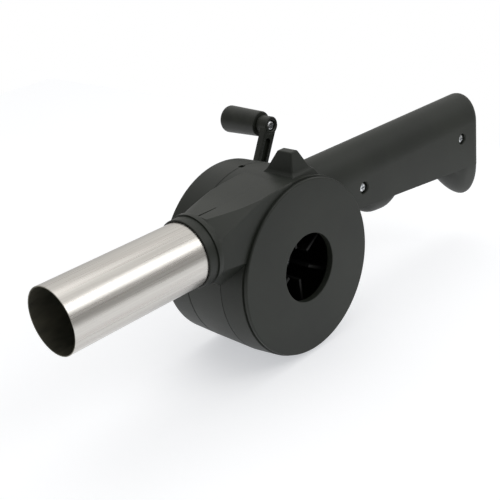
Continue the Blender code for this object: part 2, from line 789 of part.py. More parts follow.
def intake_shell(outer, hollows):
    """The near half of the casing, with the intake face."""
    shell = turned(
        "intake_shell",
        (
            (0.0, CASING_SEAM_Y),
            (DRUM_SEAM_RADIUS, CASING_SEAM_Y),
            (DRUM_SHOULDER_RADIUS, DISC_RISE),
            (DISC_RADIUS, DISC_RISE),
            (DISC_RADIUS, DISC_EDGE),
            (DISC_RADIUS - DISC_EDGE, 0.0),
            (0.0, 0.0),
        ),
    )
    face = CASING_SEAM_Y - SEAM_GAP / 2
    join(shell, *outer)
    cut(shell, *hollows)
    join(shell, *shell_posts("near", HANDLE_NEAR_Y + WALL / 2, CASING_SEAM_Y + CUT_MARGIN))
    lip = INTAKE_HOLE_RADIUS + INTAKE_LIP
    join(shell, rod("lip", FAN_AXIS, lip, BITE, WALL + INTAKE_LIP_DEPTH, True, HOLE_STEPS))
    cut(shell, box("behind_seam", (-FAR / 2, face, -FAR / 3), (FAR / 2, FAR / 4, FAR / 3)))
    cut(shell, rod("intake_hole", FAN_AXIS, INTAKE_HOLE_RADIUS, -CUT_MARGIN, face / 2, True, HOLE_STEPS))
    floor = HANDLE_NEAR_Y + HANDLE_SCREW_SINK
    for index, centre in enumerate(handle_screws()):
        head = HANDLE_SCREW_HEAD_RADIUS + HEAD_CLEARANCE
        cut(shell, rod(f"head_sink_{index}", centre, head, -CUT_MARGIN, floor, True))
        hole = HANDLE_SCREW_RADIUS + FIT
        cut(shell, rod(f"near_hole_{index}", centre, hole, floor / 2, CASING_SEAM_Y, True))
    return casing(shell)


def middle_shell(outer, hollows):
    """The far half of the casing: it closes the fan chamber and carries the gear train."""
    rim = COVER_SEAM_Y - SEAM_GAP / 2
    shell = turned(
        "middle_shell",
        (
            (0.0, rim),
            (DRUM_JOINT_RADIUS, rim),
            (DRUM_SEAM_RADIUS, CASING_SEAM_Y),
            (0.0, CASING_SEAM_Y),
        ),
    )
    join(shell, *outer)
    cut(shell, *hollows)
    face = CASING_SEAM_Y + SEAM_GAP / 2
    far_wall = CASING_SEAM_Y + HANDLE_WIDTH / 2 - BITE
    join(shell, *shell_posts("far", CASING_SEAM_Y - CUT_MARGIN, far_wall))
    foot = rim - BITE
    bosses = (
        ("bearing_boss", FAN_AXIS, BEARING_BOSS_RADIUS, BEARING_BOSS_START_Y, foot),
        ("crank_socket", CRANK_AXIS, CRANK_SOCKET_RADIUS, foot, rim + CRANK_SOCKET_RISE),
        ("idler_socket", IDLER_AXIS, IDLER_SOCKET_RADIUS, foot, rim + IDLER_SOCKET_RISE),
    )
    for name, centre, radius, start, end in bosses:
        join(shell, rod(name, centre, radius, start, end, True, BOSS_STEPS))
    for index, centre in enumerate(cover_screws()):
        post = rod(f"cover_post_{index}", centre, COVER_POST_RADIUS, foot, COVER_POST_END_Y, True)
        join(shell, post)
    cut(shell, box("before_seam", (-FAR, -FAR, -FAR), (FAR, face, FAR)))
    floor = PARTITION_START_Y + SOCKET_FLOOR
    bores = (
        ("bearing_bore", FAN_AXIS, FAN_BUSH_RADIUS, BEARING_BOSS_START_Y / 2),
        ("crank_bore", CRANK_AXIS, CRANK_SHAFT_RADIUS, floor),
        ("idler_bore", IDLER_AXIS, IDLER_PIN_RADIUS, floor),
    )
    for name, centre, radius, start in bores:
        cut(shell, rod(name, centre, radius + FIT, start, FAR, True, BORE_STEPS))
    for index, centre in enumerate(cover_screws()):
        hole = COVER_SCREW_RADIUS + FIT
        cut(shell, rod(f"cover_pilot_{index}", centre, hole, rim, FAR, True))
    for index, centre in enumerate(handle_screws()):
        hole = HANDLE_SCREW_RADIUS + FIT
        end = HANDLE_NEAR_Y + HANDLE_SCREW_SINK + HANDLE_SCREW_LENGTH + FIT
        cut(shell, rod(f"far_hole_{index}", centre, hole, -CUT_MARGIN, end, True))
    return casing(shell)


def edge_arc(radius, y, edge, steps):
    """Points of a rounded outer edge, from the end face at y round to the side at radius."""
    points = []
    for step in range(steps + 1):
        turn = math.pi / 2 * step / steps
        points.append((radius - edge * (1 - math.sin(turn)), y - edge * (1 - math.cos(turn))))
    return points


def gear_cover():
    """The far end of the drum, over the gears."""
    rim = COVER_SEAM_Y + SEAM_GAP / 2
    boss_end = DRUM_END_Y + CRANK_BOSS_RISE
    cover = turned(
        "gear_cover",
        (
            (0.0, DRUM_END_Y),
            *edge_arc(DRUM_END_RADIUS, DRUM_END_Y, COVER_EDGE, COVER_EDGE_STEPS),
            (DRUM_JOINT_RADIUS, rim),
            (DRUM_JOINT_RADIUS - WALL, rim),
            (DRUM_END_RADIUS - WALL, COVER_ROOF_Y),
            (0.0, COVER_ROOF_Y),
        ),
    )
    head_end = DRUM_END_Y - BITE
    boss_start = COVER_ROOF_Y - CRANK_BOSS_DROP
    pin_start = COVER_ROOF_Y - IDLER_SOCKET_RISE
    join(cover, rod("crank_boss", CRANK_AXIS, CRANK_BOSS_RADIUS, boss_start, boss_end, True, BOSS_STEPS))
    join(cover, rod("pin_boss", IDLER_AXIS, IDLER_SOCKET_RADIUS, pin_start, head_end, True, BOSS_STEPS))
    for index, centre in enumerate(cover_screws()):
        start = COVER_POST_END_Y + SEAM_GAP
        join(cover, rod(f"cover_sleeve_{index}", centre, COVER_POST_RADIUS, start, head_end, True))
    bush_hole = CRANK_BUSH_RADIUS + FIT
    cut(cover, rod("crank_bush_bore", CRANK_AXIS, bush_hole, boss_start / 2, FAR, True, BORE_STEPS))
    roof = DRUM_END_Y - SOCKET_FLOOR / 2
    cut(cover, rod("pin_bore", IDLER_AXIS, IDLER_PIN_RADIUS + FIT, pin_start / 2, roof, True, BORE_STEPS))
    floor = DRUM_END_Y - COVER_SCREW_HEAD - HEAD_CLEARANCE
    for index, centre in enumerate(cover_screws()):
        head = COVER_SCREW_HEAD_RADIUS + HEAD_CLEARANCE
        cut(cover, rod(f"cover_sink_{index}", centre, head, floor, FAR, True))
        hole = COVER_SCREW_RADIUS + FIT
        cut(cover, rod(f"cover_hole_{index}", centre, hole, 0.0, FAR, True))
    return casing(cover)


def nozzle_tube():
    """A thin steel tube with a rolled bead at its inner end."""
    bead = TUBE_RADIUS + TUBE_BEAD
    bead_start = TUBE_INNER_END_X - TUBE_BEAD_LENGTH
    bore = TUBE_RADIUS - TUBE_WALL
    profile = (
        (bore, TUBE_INNER_END_X),
        (bead, TUBE_INNER_END_X),
        (bead, bead_start),
        (TUBE_RADIUS, bead_start - TUBE_BEAD / 2),
        (TUBE_RADIUS, TUBE_MOUTH_X),
        (bore, TUBE_MOUTH_X),
    )
    tube = turned("nozzle_tube", profile, steps=TUBE_STEPS)
    tube.location = (0.0, CASING_SEAM_Y, TUBE_AXIS_Z)
    tube.rotation_euler = (0.0, math.pi / 2, 0.0)
    return steel(tube)


def bush(name, centre, radius, bore, start, end, flange_radius, flange_start, flange_end):
    """A plain bush along Y with a flange at one end."""
    if flange_start < start:
        profile = (
            (bore, end),
            (radius, end),
            (radius, flange_end),
            (flange_radius, flange_end),
            (flange_radius, flange_start),
            (bore, flange_start),
        )
    else:
        profile = (
            (bore, flange_end),
            (flange_radius, flange_end),
            (flange_radius, flange_start),
            (radius, flange_start),
            (radius, start),
            (bore, start),
        )
    return bronze(turned(name, profile, centre, BORE_STEPS))


def fan_bushes():
    rim = COVER_SEAM_Y - SEAM_GAP / 2
    bore = FAN_SHAFT_RADIUS + FIT
    front = BEARING_BOSS_START_Y
    bush(
        "fan_bush_front",
        FAN_AXIS,
        FAN_BUSH_RADIUS,
        bore,
        front,
        front + FAN_BUSH_LENGTH,
        FAN_BUSH_FLANGE_RADIUS,
        front - SEAT - FAN_BUSH_FLANGE,
        front - SEAT,
    )
    bush(
        "fan_bush_rear",
        FAN_AXIS,
        FAN_BUSH_RADIUS,
        bore,
        rim - FAN_BUSH_LENGTH,
        rim,
        FAN_BUSH_FLANGE_RADIUS,
        rim + SEAT,
        rim + SEAT + FAN_BUSH_FLANGE,
    )


def crank_bush():
    boss_start = COVER_ROOF_Y - CRANK_BOSS_DROP
    bush(
        "crank_bush",
        CRANK_AXIS,
        CRANK_BUSH_RADIUS,
        CRANK_SHAFT_RADIUS + FIT,
        boss_start,
        DRUM_END_Y + CRANK_BOSS_RISE,
        CRANK_BUSH_FLANGE_RADIUS,
        boss_start - SEAT - CRANK_BUSH_FLANGE,
        boss_start - SEAT,
    )


def fan_shaft():
    shaft = rod(
        "fan_shaft",
        FAN_AXIS,
        FAN_SHAFT_RADIUS,
        FAN_SHAFT_START_Y,
        FAN_SHAFT_END_Y,
        steps=BORE_STEPS,
    )
    flat = shaft_flat(FAN_SHAFT_RADIUS)
    hub_end = IMPELLER_HUB_START_Y + IMPELLER_HUB_FLOOR
    cut(shaft, box("fan_flat_front", (flat, 0.0, -FAR), (FAR, hub_end, FAR)))
    cut(shaft, box("fan_flat_rear", (flat, LOWER_GEAR_START_Y, -FAR), (FAR, FAR, FAR)))
    return steel(shaft)


def fitted_bore(radius):
    """The bore that takes a shaft with a flat."""
    return flatted_circle(radius + FIT, shaft_flat(radius) + FIT)


def impeller():
    """Radial blades on a back plate, with a hub that reaches round the bearing boss."""
    plate_end = PARTITION_START_Y - IMPELLER_PLATE_GAP
    plate_start = plate_end - IMPELLER_PLATE
    socket = BEARING_BOSS_RADIUS + IMPELLER_HUB_GAP
    floor = IMPELLER_HUB_START_Y + IMPELLER_HUB_FLOOR
    nose = IMPELLER_HUB_RADIUS - IMPELLER_HUB_TAPER
    wheel = turned(
        "impeller",
        (
            (0.0, floor),
            (socket, floor),
            (socket, plate_end),
            (IMPELLER_RADIUS, plate_end),
            (IMPELLER_RADIUS, plate_start),
            (IMPELLER_HUB_RADIUS, plate_start),
            (IMPELLER_HUB_RADIUS, floor),
            (nose, IMPELLER_HUB_START_Y),
            (0.0, IMPELLER_HUB_START_Y),
        ),
        steps=HOLE_STEPS,
    )
    root = (socket + IMPELLER_HUB_RADIUS) / 2
    for index in range(IMPELLER_BLADES):
        blade = box(
            f"blade_{index}",
            (root, IMPELLER_BLADE_START_Y, -IMPELLER_BLADE_THICKNESS / 2),
            (IMPELLER_RADIUS - FIT, plate_start + IMPELLER_PLATE / 2, IMPELLER_BLADE_THICKNESS / 2),
        )
        angle = IMPELLER_BLADE_ANGLE + FULL_TURN * index / IMPELLER_BLADES
        blade.rotation_euler = (0.0, -angle, 0.0)
        join(wheel, blade)
    bore = plate("impeller_bore", [fitted_bore(FAN_SHAFT_RADIUS)], FAN_AXIS, 0.0, FAR, True)
    cut(wheel, bore)
    return finish(wheel, FAN_COLOUR, 0.5)


def impeller_nut():
    end = IMPELLER_HUB_START_Y - SEAT
    outline = circle(NUT_ACROSS_CORNERS / 2, 6)
    hole = circle(FAN_SHAFT_RADIUS + FIT, BORE_STEPS)
    return steel(plate("impeller_nut", [outline, hole], FAN_AXIS, end - NUT_HEIGHT, end))


def fan_pinion():
    idler_to_fan = bearing_angle(IDLER_AXIS, FAN_AXIS)
    phase = idler_to_fan + math.pi + math.pi / FAN_PINION_TEETH
    outline = gear_outline(FAN_PINION_TEETH, PINION_SHIFT, phase, PINION_FLANK_STEPS)
    hole = fitted_bore(FAN_SHAFT_RADIUS)
    pinion = plate("fan_pinion", [outline, hole], FAN_AXIS, LOWER_GEAR_START_Y, LOWER_GEAR_END_Y)
    return steel(pinion)


def idler_gear():
    """The large gear that drives the fan, moulded in one with the pinion that the crank drives."""
    to_fan = bearing_angle(IDLER_AXIS, FAN_AXIS)
    gear = plate(
        "idler_gear",
        [gear_outline(IDLER_GEAR_TEETH, -PINION_SHIFT, to_fan, GEAR_FLANK_STEPS)],
        IDLER_AXIS,
        LOWER_GEAR_START_Y,
        LOWER_GEAR_END_Y,
    )
    from_crank = bearing_angle(CRANK_AXIS, IDLER_AXIS)
    phase = from_crank + math.pi + math.pi / IDLER_PINION_TEETH
    pinion = plate(
        "idler_pinion",
        [gear_outline(IDLER_PINION_TEETH, PINION_SHIFT, phase, PINION_FLANK_STEPS)],
        IDLER_AXIS,
        LOWER_GEAR_START_Y + LOWER_GEAR_WIDTH / 2,
        UPPER_GEAR_END_Y,
        True,
    )
    join(gear, pinion)
    cut(gear, rod("idler_hole", IDLER_AXIS, IDLER_PIN_RADIUS + FIT, 0.0, FAR, True, BORE_STEPS))
    return nylon(gear)


def idler_pin():
    start = PARTITION_START_Y + SOCKET_FLOOR + SEAT
    end = DRUM_END_Y - SOCKET_FLOOR / 2 - SEAT
    return steel(rod("idler_pin", IDLER_AXIS, IDLER_PIN_RADIUS, start, end, steps=BORE_STEPS))


def idler_washer():
    start = UPPER_GEAR_END_Y + SEAT
    outline = circle(IDLER_WASHER_RADIUS, BORE_STEPS)
    hole = circle(IDLER_PIN_RADIUS + FIT, BORE_STEPS)
    return steel(plate("idler_washer", [outline, hole], IDLER_AXIS, start, start + IDLER_WASHER))


def crank_gear():
    """The large driving gear, with a thin web between rim and hub."""
    phase = bearing_angle(CRANK_AXIS, IDLER_AXIS)
    gear = plate(
        "crank_gear",
        [gear_outline(CRANK_GEAR_TEETH, -PINION_SHIFT, phase, GEAR_FLANK_STEPS)],
        CRANK_AXIS,
        UPPER_GEAR_START_Y,
        UPPER_GEAR_END_Y,
    )
    rim = MODULE * CRANK_GEAR_TEETH / 2 - GEAR_RIM
    relief = (UPPER_GEAR_WIDTH - GEAR_WEB) / 2
    sides = (
        (UPPER_GEAR_START_Y - CUT_MARGIN, UPPER_GEAR_START_Y + relief),
        (UPPER_GEAR_END_Y - relief, UPPER_GEAR_END_Y + CUT_MARGIN),
    )
    for index, (start, end) in enumerate(sides):
        ring = plate(
            f"web_relief_{index}",
            [circle(rim, HOLE_STEPS), circle(CRANK_GEAR_HUB_RADIUS, BOSS_STEPS)],
            CRANK_AXIS,
            start,
            end,
            True,
        )
        cut(gear, ring)
    cut(gear, plate("crank_gear_bore", [fitted_bore(CRANK_SHAFT_RADIUS)], CRANK_AXIS, 0.0, FAR, True))
    return nylon(gear)


def crank_shaft():
    """A steel shaft with a flat, tapped at its outer end."""
    start = PARTITION_START_Y + SOCKET_FLOOR + SEAT
    end = ARM_HUB_END_Y - ARM_HUB_ROOF - FIT
    shaft = rod("crank_shaft", CRANK_AXIS, CRANK_SHAFT_RADIUS, start, end, steps=BORE_STEPS)
    flat = CRANK_AXIS_X + shaft_flat(CRANK_SHAFT_RADIUS)
    gear_zone = (UPPER_GEAR_START_Y - SEAT, UPPER_GEAR_END_Y)
    cut(shaft, box("crank_flat_gear", (flat, gear_zone[0], -FAR), (FAR, gear_zone[1], FAR)))
    cut(shaft, box("crank_flat_arm", (flat, ARM_HUB_START_Y, -FAR), (FAR, FAR, FAR)))
    tap = CRANK_SCREW_RADIUS + FIT
    bottom = ARM_HUB_END_Y + CRANK_WASHER - CRANK_SCREW_LENGTH - FIT
    cut(shaft, rod("shaft_tap", CRANK_AXIS, tap, bottom, FAR, True))
    return steel(shaft)


def arm_point(along, aside):
    """A point on the arm's face, along its length from the crank axis and aside towards -X."""
    x = along * math.sin(ARM_LEAN) - aside * math.cos(ARM_LEAN)
    z = along * math.cos(ARM_LEAN) + aside * math.sin(ARM_LEAN)
    return (x, z)


def arm_outline(half_width, start, end, radius):
    """A bar from start to end along the arm, with a round far end."""
    outline = [arm_point(start, -half_width), arm_point(start, half_width)]
    for step in range(ARM_END_STEPS + 1):
        angle = math.pi * step / ARM_END_STEPS
        outline.append(arm_point(end + radius * math.sin(angle), radius * math.cos(angle)))
    return outline


def crank_arm():
    """A flat arm between a deep hub and the boss that carries the grip, cored on its near side."""
    arm_end_y = ARM_START_Y + ARM_THICKNESS
    arm = plate(
        "crank_arm",
        [arm_outline(ARM_HALF_WIDTH, 0.0, ARM_LENGTH, ARM_HALF_WIDTH)],
        CRANK_AXIS,
        ARM_START_Y,
        arm_end_y,
    )
    round_edges(arm, ARM_EDGE)
    join(arm, rod("arm_hub", CRANK_AXIS, ARM_HUB_RADIUS, ARM_HUB_START_Y, ARM_HUB_END_Y, True, BOSS_STEPS))
    join(arm, rod("grip_boss", GRIP_AXIS, ARM_END_RADIUS, ARM_START_Y, GRIP_BOSS_END_Y, True, BOSS_STEPS))
    recess_half = ARM_HALF_WIDTH - ARM_RAIL
    recess = plate(
        "arm_recess",
        [
            arm_outline(
                recess_half,
                ARM_HUB_RADIUS + ARM_RAIL,
                ARM_LENGTH - ARM_END_RADIUS - ARM_RECESS_SHY,
                recess_half,
            )
        ],
        CRANK_AXIS,
        ARM_START_Y - CUT_MARGIN,
        ARM_START_Y + ARM_RECESS,
        True,
    )
    cut(arm, recess)
    roof = ARM_HUB_END_Y - ARM_HUB_ROOF
    bore = plate("arm_bore", [fitted_bore(CRANK_SHAFT_RADIUS)], CRANK_AXIS, ARM_HUB_START_Y / 2, roof, True)
    cut(arm, bore)
    cut(arm, rod("arm_screw_hole", CRANK_AXIS, CRANK_SCREW_RADIUS + FIT, roof / 2, FAR, True))
    floor = ARM_START_Y + GRIP_SCREW_SINK
    head = GRIP_SCREW_HEAD_RADIUS + HEAD_CLEARANCE
    cut(arm, rod("grip_head_sink", GRIP_AXIS, head, ARM_START_Y - CUT_MARGIN, floor, True))
    cut(arm, rod("grip_screw_hole", GRIP_AXIS, GRIP_SCREW_RADIUS + FIT, floor / 2, FAR, True))
    spigot_start = GRIP_START_Y - GRIP_SPIGOT_LENGTH - FIT
    spigot = GRIP_SPIGOT_RADIUS + FIT
    cut(arm, rod("spigot_bore", GRIP_AXIS, spigot, spigot_start, FAR, True, BORE_STEPS))
    return black(arm)


def crank_grip():
    """The turning grip, with a spigot that runs in the arm's boss."""
    edge = GRIP_EDGE
    spigot_start = GRIP_START_Y - GRIP_SPIGOT_LENGTH
    grip = turned(
        "crank_grip",
        (
            (0.0, GRIP_END_Y),
            *edge_arc(GRIP_FAR_RADIUS, GRIP_END_Y, edge, GRIP_EDGE_STEPS),
            (GRIP_NEAR_RADIUS, GRIP_START_Y + edge / 2),
            (GRIP_NEAR_RADIUS - edge / 2, GRIP_START_Y),
            (GRIP_SPIGOT_RADIUS, GRIP_START_Y),
            (GRIP_SPIGOT_RADIUS, spigot_start),
            (0.0, spigot_start),
        ),
        GRIP_AXIS,
        GRIP_STEPS,
    )
    floor = ARM_START_Y + GRIP_SCREW_SINK
    end = floor + GRIP_SCREW_LENGTH + FIT
    cut(grip, rod("grip_pilot", GRIP_AXIS, GRIP_SCREW_RADIUS + FIT, spigot_start / 2, end, True))
    return black(grip)


def screw(name, centre, seat, head_radius, head, radius, length, outward):
    """A pan head screw along Y whose head rests at seat and points outward (-1 or +1)."""
    under = seat + outward * SEAT
    crown = under + outward * head
    tip = under - outward * length
    neck = crown - outward * head * PAN_ROUND
    profile = [
        (0.0, crown),
        (head_radius * PAN_FLAT, crown),
        (head_radius, neck),
        (head_radius, under),
        (radius, under),
        (radius, tip + outward * radius),
        (radius / 2, tip),
        (0.0, tip),
    ]
    if outward < 0:
        profile.reverse()
    item = turned(name, tuple(profile), centre, SCREW_STEPS)
    half_width = head_radius * SLOT_WIDTH / 2
    half_length = head_radius * SLOT_LENGTH / 2
    ends = sorted((crown + outward * SEAT, crown - outward * head * SLOT_DEPTH))
    for index, reach in enumerate(((half_length, half_width), (half_width, half_length))):
        low = (centre[0] - reach[0], ends[0], centre[1] - reach[1])
        high = (centre[0] + reach[0], ends[1], centre[1] + reach[1])
        cut(item, box(f"{name}_slot_{index}", low, high))
    return steel(item)


def fasteners():
    near_seat = HANDLE_NEAR_Y + HANDLE_SCREW_SINK
    names = ("handle_screw_drum_end", "handle_screw_hook_end")
    for name, centre in zip(names, handle_screws()):
        screw(
            name,
            centre,
            near_seat,
            HANDLE_SCREW_HEAD_RADIUS,
            HANDLE_SCREW_HEAD,
            HANDLE_SCREW_RADIUS,
            HANDLE_SCREW_LENGTH,
            -1,
        )
    cover_seat = DRUM_END_Y - COVER_SCREW_HEAD - HEAD_CLEARANCE
    for index, centre in enumerate(cover_screws()):
        screw(
            f"cover_screw_{index + 1}",
            centre,
            cover_seat,
            COVER_SCREW_HEAD_RADIUS,
            COVER_SCREW_HEAD,
            COVER_SCREW_RADIUS,
            COVER_SCREW_LENGTH,
            1,
        )
    screw(
        "grip_screw",
        GRIP_AXIS,
        ARM_START_Y + GRIP_SCREW_SINK,
        GRIP_SCREW_HEAD_RADIUS,
        GRIP_SCREW_HEAD,
        GRIP_SCREW_RADIUS,
        GRIP_SCREW_LENGTH,
        -1,
    )
    washer_end = ARM_HUB_END_Y + SEAT + CRANK_WASHER
    screw(
        "crank_screw",
        CRANK_AXIS,
        washer_end,
        CRANK_SCREW_HEAD_RADIUS,
        CRANK_SCREW_HEAD,
        CRANK_SCREW_RADIUS,
        CRANK_SCREW_LENGTH,
        1,
    )
    outline = circle(CRANK_WASHER_RADIUS, BORE_STEPS)
    hole = circle(CRANK_SCREW_RADIUS + FIT, BORE_STEPS)
    steel(plate("crank_washer", [outline, hole], CRANK_AXIS, ARM_HUB_END_Y + SEAT, washer_end))


MOVING_AXES = {
    "impeller": FAN_AXIS,
    "impeller_nut": FAN_AXIS,
    "fan_shaft": FAN_AXIS,
    "fan_pinion": FAN_AXIS,
    "idler_gear": IDLER_AXIS,
    "idler_washer": IDLER_AXIS,
    "crank_gear": CRANK_AXIS,
    "crank_shaft": CRANK_AXIS,
    "crank_arm": CRANK_AXIS,
    "crank_screw": CRANK_AXIS,
    "crank_washer": CRANK_AXIS,
    "crank_grip": GRIP_AXIS,
    "grip_screw": GRIP_AXIS,
}


def put_origins_on_axes():
    """Moves each moving piece's origin onto its joint's axis, without moving the piece."""
    for name, axis in MOVING_AXES.items():
        item = bpy.data.objects[name]
        goal = Vector((axis[0], 0.0, axis[1]))
        shift = goal - item.location
        if shift.length > MERGE:
            local = item.matrix_basis.to_3x3().inverted() @ shift
            item.data.transform(Matrix.Translation(-local))
            item.location = goal


def move_to_row_frame():
    origin = row_origin()
    for item in bpy.data.objects:
        item.location -= origin


def main():
    start_scene()
    outer, hollows = casing_forms()
    intake_shell(outer, hollows)
    middle_shell(outer, hollows)
    gear_cover()
    nozzle_tube()
    fan_bushes()
    crank_bush()
    fan_shaft()
    impeller()
    impeller_nut()
    fan_pinion()
    idler_gear()
    idler_pin()
    idler_washer()
    crank_gear()
    crank_shaft()
    crank_arm()
    crank_grip()
    fasteners()
    put_origins_on_axes()
    move_to_row_frame()


main()
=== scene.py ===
"""Manual barbecue blower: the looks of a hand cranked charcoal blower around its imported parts.

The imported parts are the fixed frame. Every outer piece and the fan are modelled again here with
rounded edges and smooth skins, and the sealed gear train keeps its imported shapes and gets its
finishes. Sizes are in millimetres from the fan's axis and the intake face: the fan turns about Y,
the intake faces -Y, the nozzle points to -X and the handle to +X. Each finished piece is then
brought to the scene's metres.
"""

import logging
import math
from contextlib import contextmanager
from dataclasses import dataclass, field
from enum import Enum
from typing import Callable, Iterator, Optional, Sequence

import bmesh
import bpy
from mathutils import Matrix, Vector

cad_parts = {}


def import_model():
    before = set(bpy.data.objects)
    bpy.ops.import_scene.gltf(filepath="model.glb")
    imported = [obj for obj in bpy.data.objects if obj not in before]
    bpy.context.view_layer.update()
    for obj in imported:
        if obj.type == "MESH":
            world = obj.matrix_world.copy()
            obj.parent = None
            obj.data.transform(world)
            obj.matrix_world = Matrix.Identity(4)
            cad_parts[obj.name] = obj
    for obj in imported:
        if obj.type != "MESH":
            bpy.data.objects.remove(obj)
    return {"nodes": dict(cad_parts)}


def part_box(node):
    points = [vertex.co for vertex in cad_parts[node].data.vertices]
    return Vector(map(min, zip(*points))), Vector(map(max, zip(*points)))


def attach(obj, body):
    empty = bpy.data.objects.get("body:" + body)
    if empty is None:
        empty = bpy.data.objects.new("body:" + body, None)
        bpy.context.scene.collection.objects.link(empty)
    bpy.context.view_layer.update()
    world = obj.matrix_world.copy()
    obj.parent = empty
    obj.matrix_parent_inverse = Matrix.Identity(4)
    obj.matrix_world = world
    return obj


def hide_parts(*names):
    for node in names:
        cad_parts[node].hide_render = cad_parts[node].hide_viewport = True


LOG = logging.getLogger("blower")
MILLIMETRE = 0.001
FULL_TURN = 2 * math.pi
QUARTER_TURN = math.pi / 2
WELD = 0.001
# Farther out than any piece reaches: where cutters that pass right through end.
FAR = 400.0
# How far a cutter stands clear of the face that it opens.
CLEAR = 1.0
# Faces round a rim, a boss, a small head or bore, and a hidden drill.
RIM_STEPS = 96
BOSS_STEPS = 64
SMALL_STEPS = 32
DRILL_STEPS = 24

Piece = bpy.types.Object
Material = bpy.types.Material
Socket = bpy.types.NodeSocket
Tree = bpy.types.NodeTree
Edge = bmesh.types.BMEdge
Vert = bmesh.types.BMVert
Place = tuple[float, float]
Triple = tuple[float, float, float]
Section = list[Vector]
Profile = Sequence[Place]
Stops = tuple[tuple[float, str], ...]
Grain = tuple[object, ...]
ScrewSizes = tuple[float, float, float, float]
EdgeTest = Callable[[Edge], bool]

FAN_AXIS: Place = (0.0, 0.0)


class Shaping(Enum):
    """What a tool does to the piece it meets."""

    ADD = "UNION"
    TAKE = "DIFFERENCE"


class Body(Enum):
    """The moving groups that the pieces modelled here ride on."""

    CASING = "casing"
    CRANK = "crank"
    GRIP = "grip"
    FAN = "fan"


class Slot(Enum):
    """The material slots of the pieces modelled here."""

    CASING = "casing"
    CRANK = "crank"
    TUBE = "tube"
    STEEL = "steel"
    FAN = "fan"


# Working by hand: selection, edit mode and shaping


def select_only(piece: Piece) -> None:
    """Leaves one piece selected and active.

    Args:
        piece: The piece that the next operator works on.
    """
    if bpy.context.mode != "OBJECT":
        bpy.ops.object.mode_set(mode="OBJECT")
    bpy.ops.object.select_all(action="DESELECT")
    piece.select_set(True)
    bpy.context.view_layer.objects.active = piece


@contextmanager
def editing(piece: Piece) -> Iterator[None]:
    """Opens a piece in edit mode with nothing selected and closes it again.

    Args:
        piece: The piece to edit.
    """
    select_only(piece)
    bpy.ops.object.mode_set(mode="EDIT")
    bpy.ops.mesh.select_mode(type="VERT")
    bpy.ops.mesh.select_all(action="DESELECT")
    try:
        yield
    finally:
        bpy.ops.object.mode_set(mode="OBJECT")


def soften(piece: Piece, width: float, segments: int, test: EdgeTest) -> None:
    """Rounds the edges of a piece that pass a test.

    Args:
        piece: The piece to round.
        width: Width of the rounding in millimetres.
        segments: Faces across the rounding.
        test: Says whether an edge is rounded.
    """
    with editing(piece):
        bpy.ops.mesh.select_mode(type="EDGE")
        mesh = bmesh.from_edit_mesh(piece.data)
        mesh.normal_update()
        for edge in mesh.edges:
            if test(edge):
                edge.select_set(True)
        bmesh.update_edit_mesh(piece.data)
        bpy.ops.mesh.bevel(offset=width, segments=segments, affect="EDGES", clamp_overlap=True)


def is_sharp(least: float) -> EdgeTest:
    """A test for edges whose faces turn by at least an angle.

    Args:
        least: The angle in degrees.

    Returns:
        The test.
    """
    limit = math.radians(least)

    def test(edge: Edge) -> bool:
        """Whether the edge is that sharp."""
        return len(edge.link_faces) == 2 and edge.calc_face_angle(0.0) > limit

    return test


def grow(name: str, sections: Sequence[Section], ring: bool = False) -> Piece:
    """Extrudes a first outline through a row of sections with equal point counts.

    Args:
        name: Name of the new piece.
        sections: The outlines that the skin passes through.
        ring: True for a skin whose last section joins its first, such as a tube's wall.

    Returns:
        The closed piece.
    """
    fill = "NOTHING" if ring else "NGON"
    bpy.ops.mesh.primitive_circle_add(vertices=len(sections[0]), radius=1.0, fill_type=fill)
    piece = bpy.context.active_object
    piece.name = name
    piece.data.name = name
    with editing(piece):
        bpy.ops.mesh.select_all(action="SELECT")
        mesh = bmesh.from_edit_mesh(piece.data)
        front = list(mesh.verts)
        first = list(front)
        for vert, point in zip(front, sections[0]):
            vert.co = point
        for section in sections[1:]:
            bpy.ops.mesh.extrude_region_move()
            front = [step_on(vert) for vert in front]
            for vert, point in zip(front, section):
                vert.co = point
        if ring:
            bpy.ops.mesh.select_mode(type="EDGE")
            bpy.ops.mesh.select_all(action="DESELECT")
            for loop in (first, front):
                for vert, after in zip(loop, loop[1:] + loop[:1]):
                    shared_edge(vert, after).select_set(True)
            bpy.ops.mesh.bridge_edge_loops()
        bpy.ops.mesh.select_all(action="SELECT")
        bpy.ops.mesh.normals_make_consistent(inside=False)
    return piece


def step_on(vert: Vert) -> Vert:
    """The new point that an extrusion drew out of an old one."""
    return next(edge.other_vert(vert) for edge in vert.link_edges if edge.other_vert(vert).select)


def shared_edge(one: Vert, other: Vert) -> Edge:
    """The edge between two neighbouring points."""
    return next(edge for edge in one.link_edges if edge.other_vert(one) == other)


def round_points(radius: float, steps: int) -> list[Place]:
    """Points round a circle about nothing, from its right side on."""
    turns = [FULL_TURN * step / steps for step in range(steps)]
    return [(radius * math.cos(turn), radius * math.sin(turn)) for turn in turns]


def outline_at(outline: Sequence[Place], y: float, centre: Place) -> Section:
    """An outline in x and z set at a distance behind the intake face."""
    return [Vector((centre[0] + x, y, centre[1] + z)) for x, z in outline]


def lathe(
    name: str, profile: Profile, steps: int, centre: Place = FAN_AXIS, ring: bool = False
) -> Piece:
    """Turns a profile of radius and y about an axis along Y; a ring's profile is closed."""
    return grow(name, [outline_at(round_points(r, steps), y, centre) for r, y in profile], ring)


def prism(
    name: str, outline: Sequence[Place], start: float, end: float, centre: Place = FAN_AXIS
) -> Piece:
    """An outline in x and z about a centre, drawn out along Y from start to end."""
    return grow(name, [outline_at(outline, start, centre), outline_at(outline, end, centre)])


def rod(
    name: str, centre: Place, radius: float, start: float, end: float, steps: int = 48
) -> Piece:
    """A round bar along Y from start to end, used as a boss or as a drill."""
    return lathe(name, ((radius, start), (radius, end)), steps, centre)


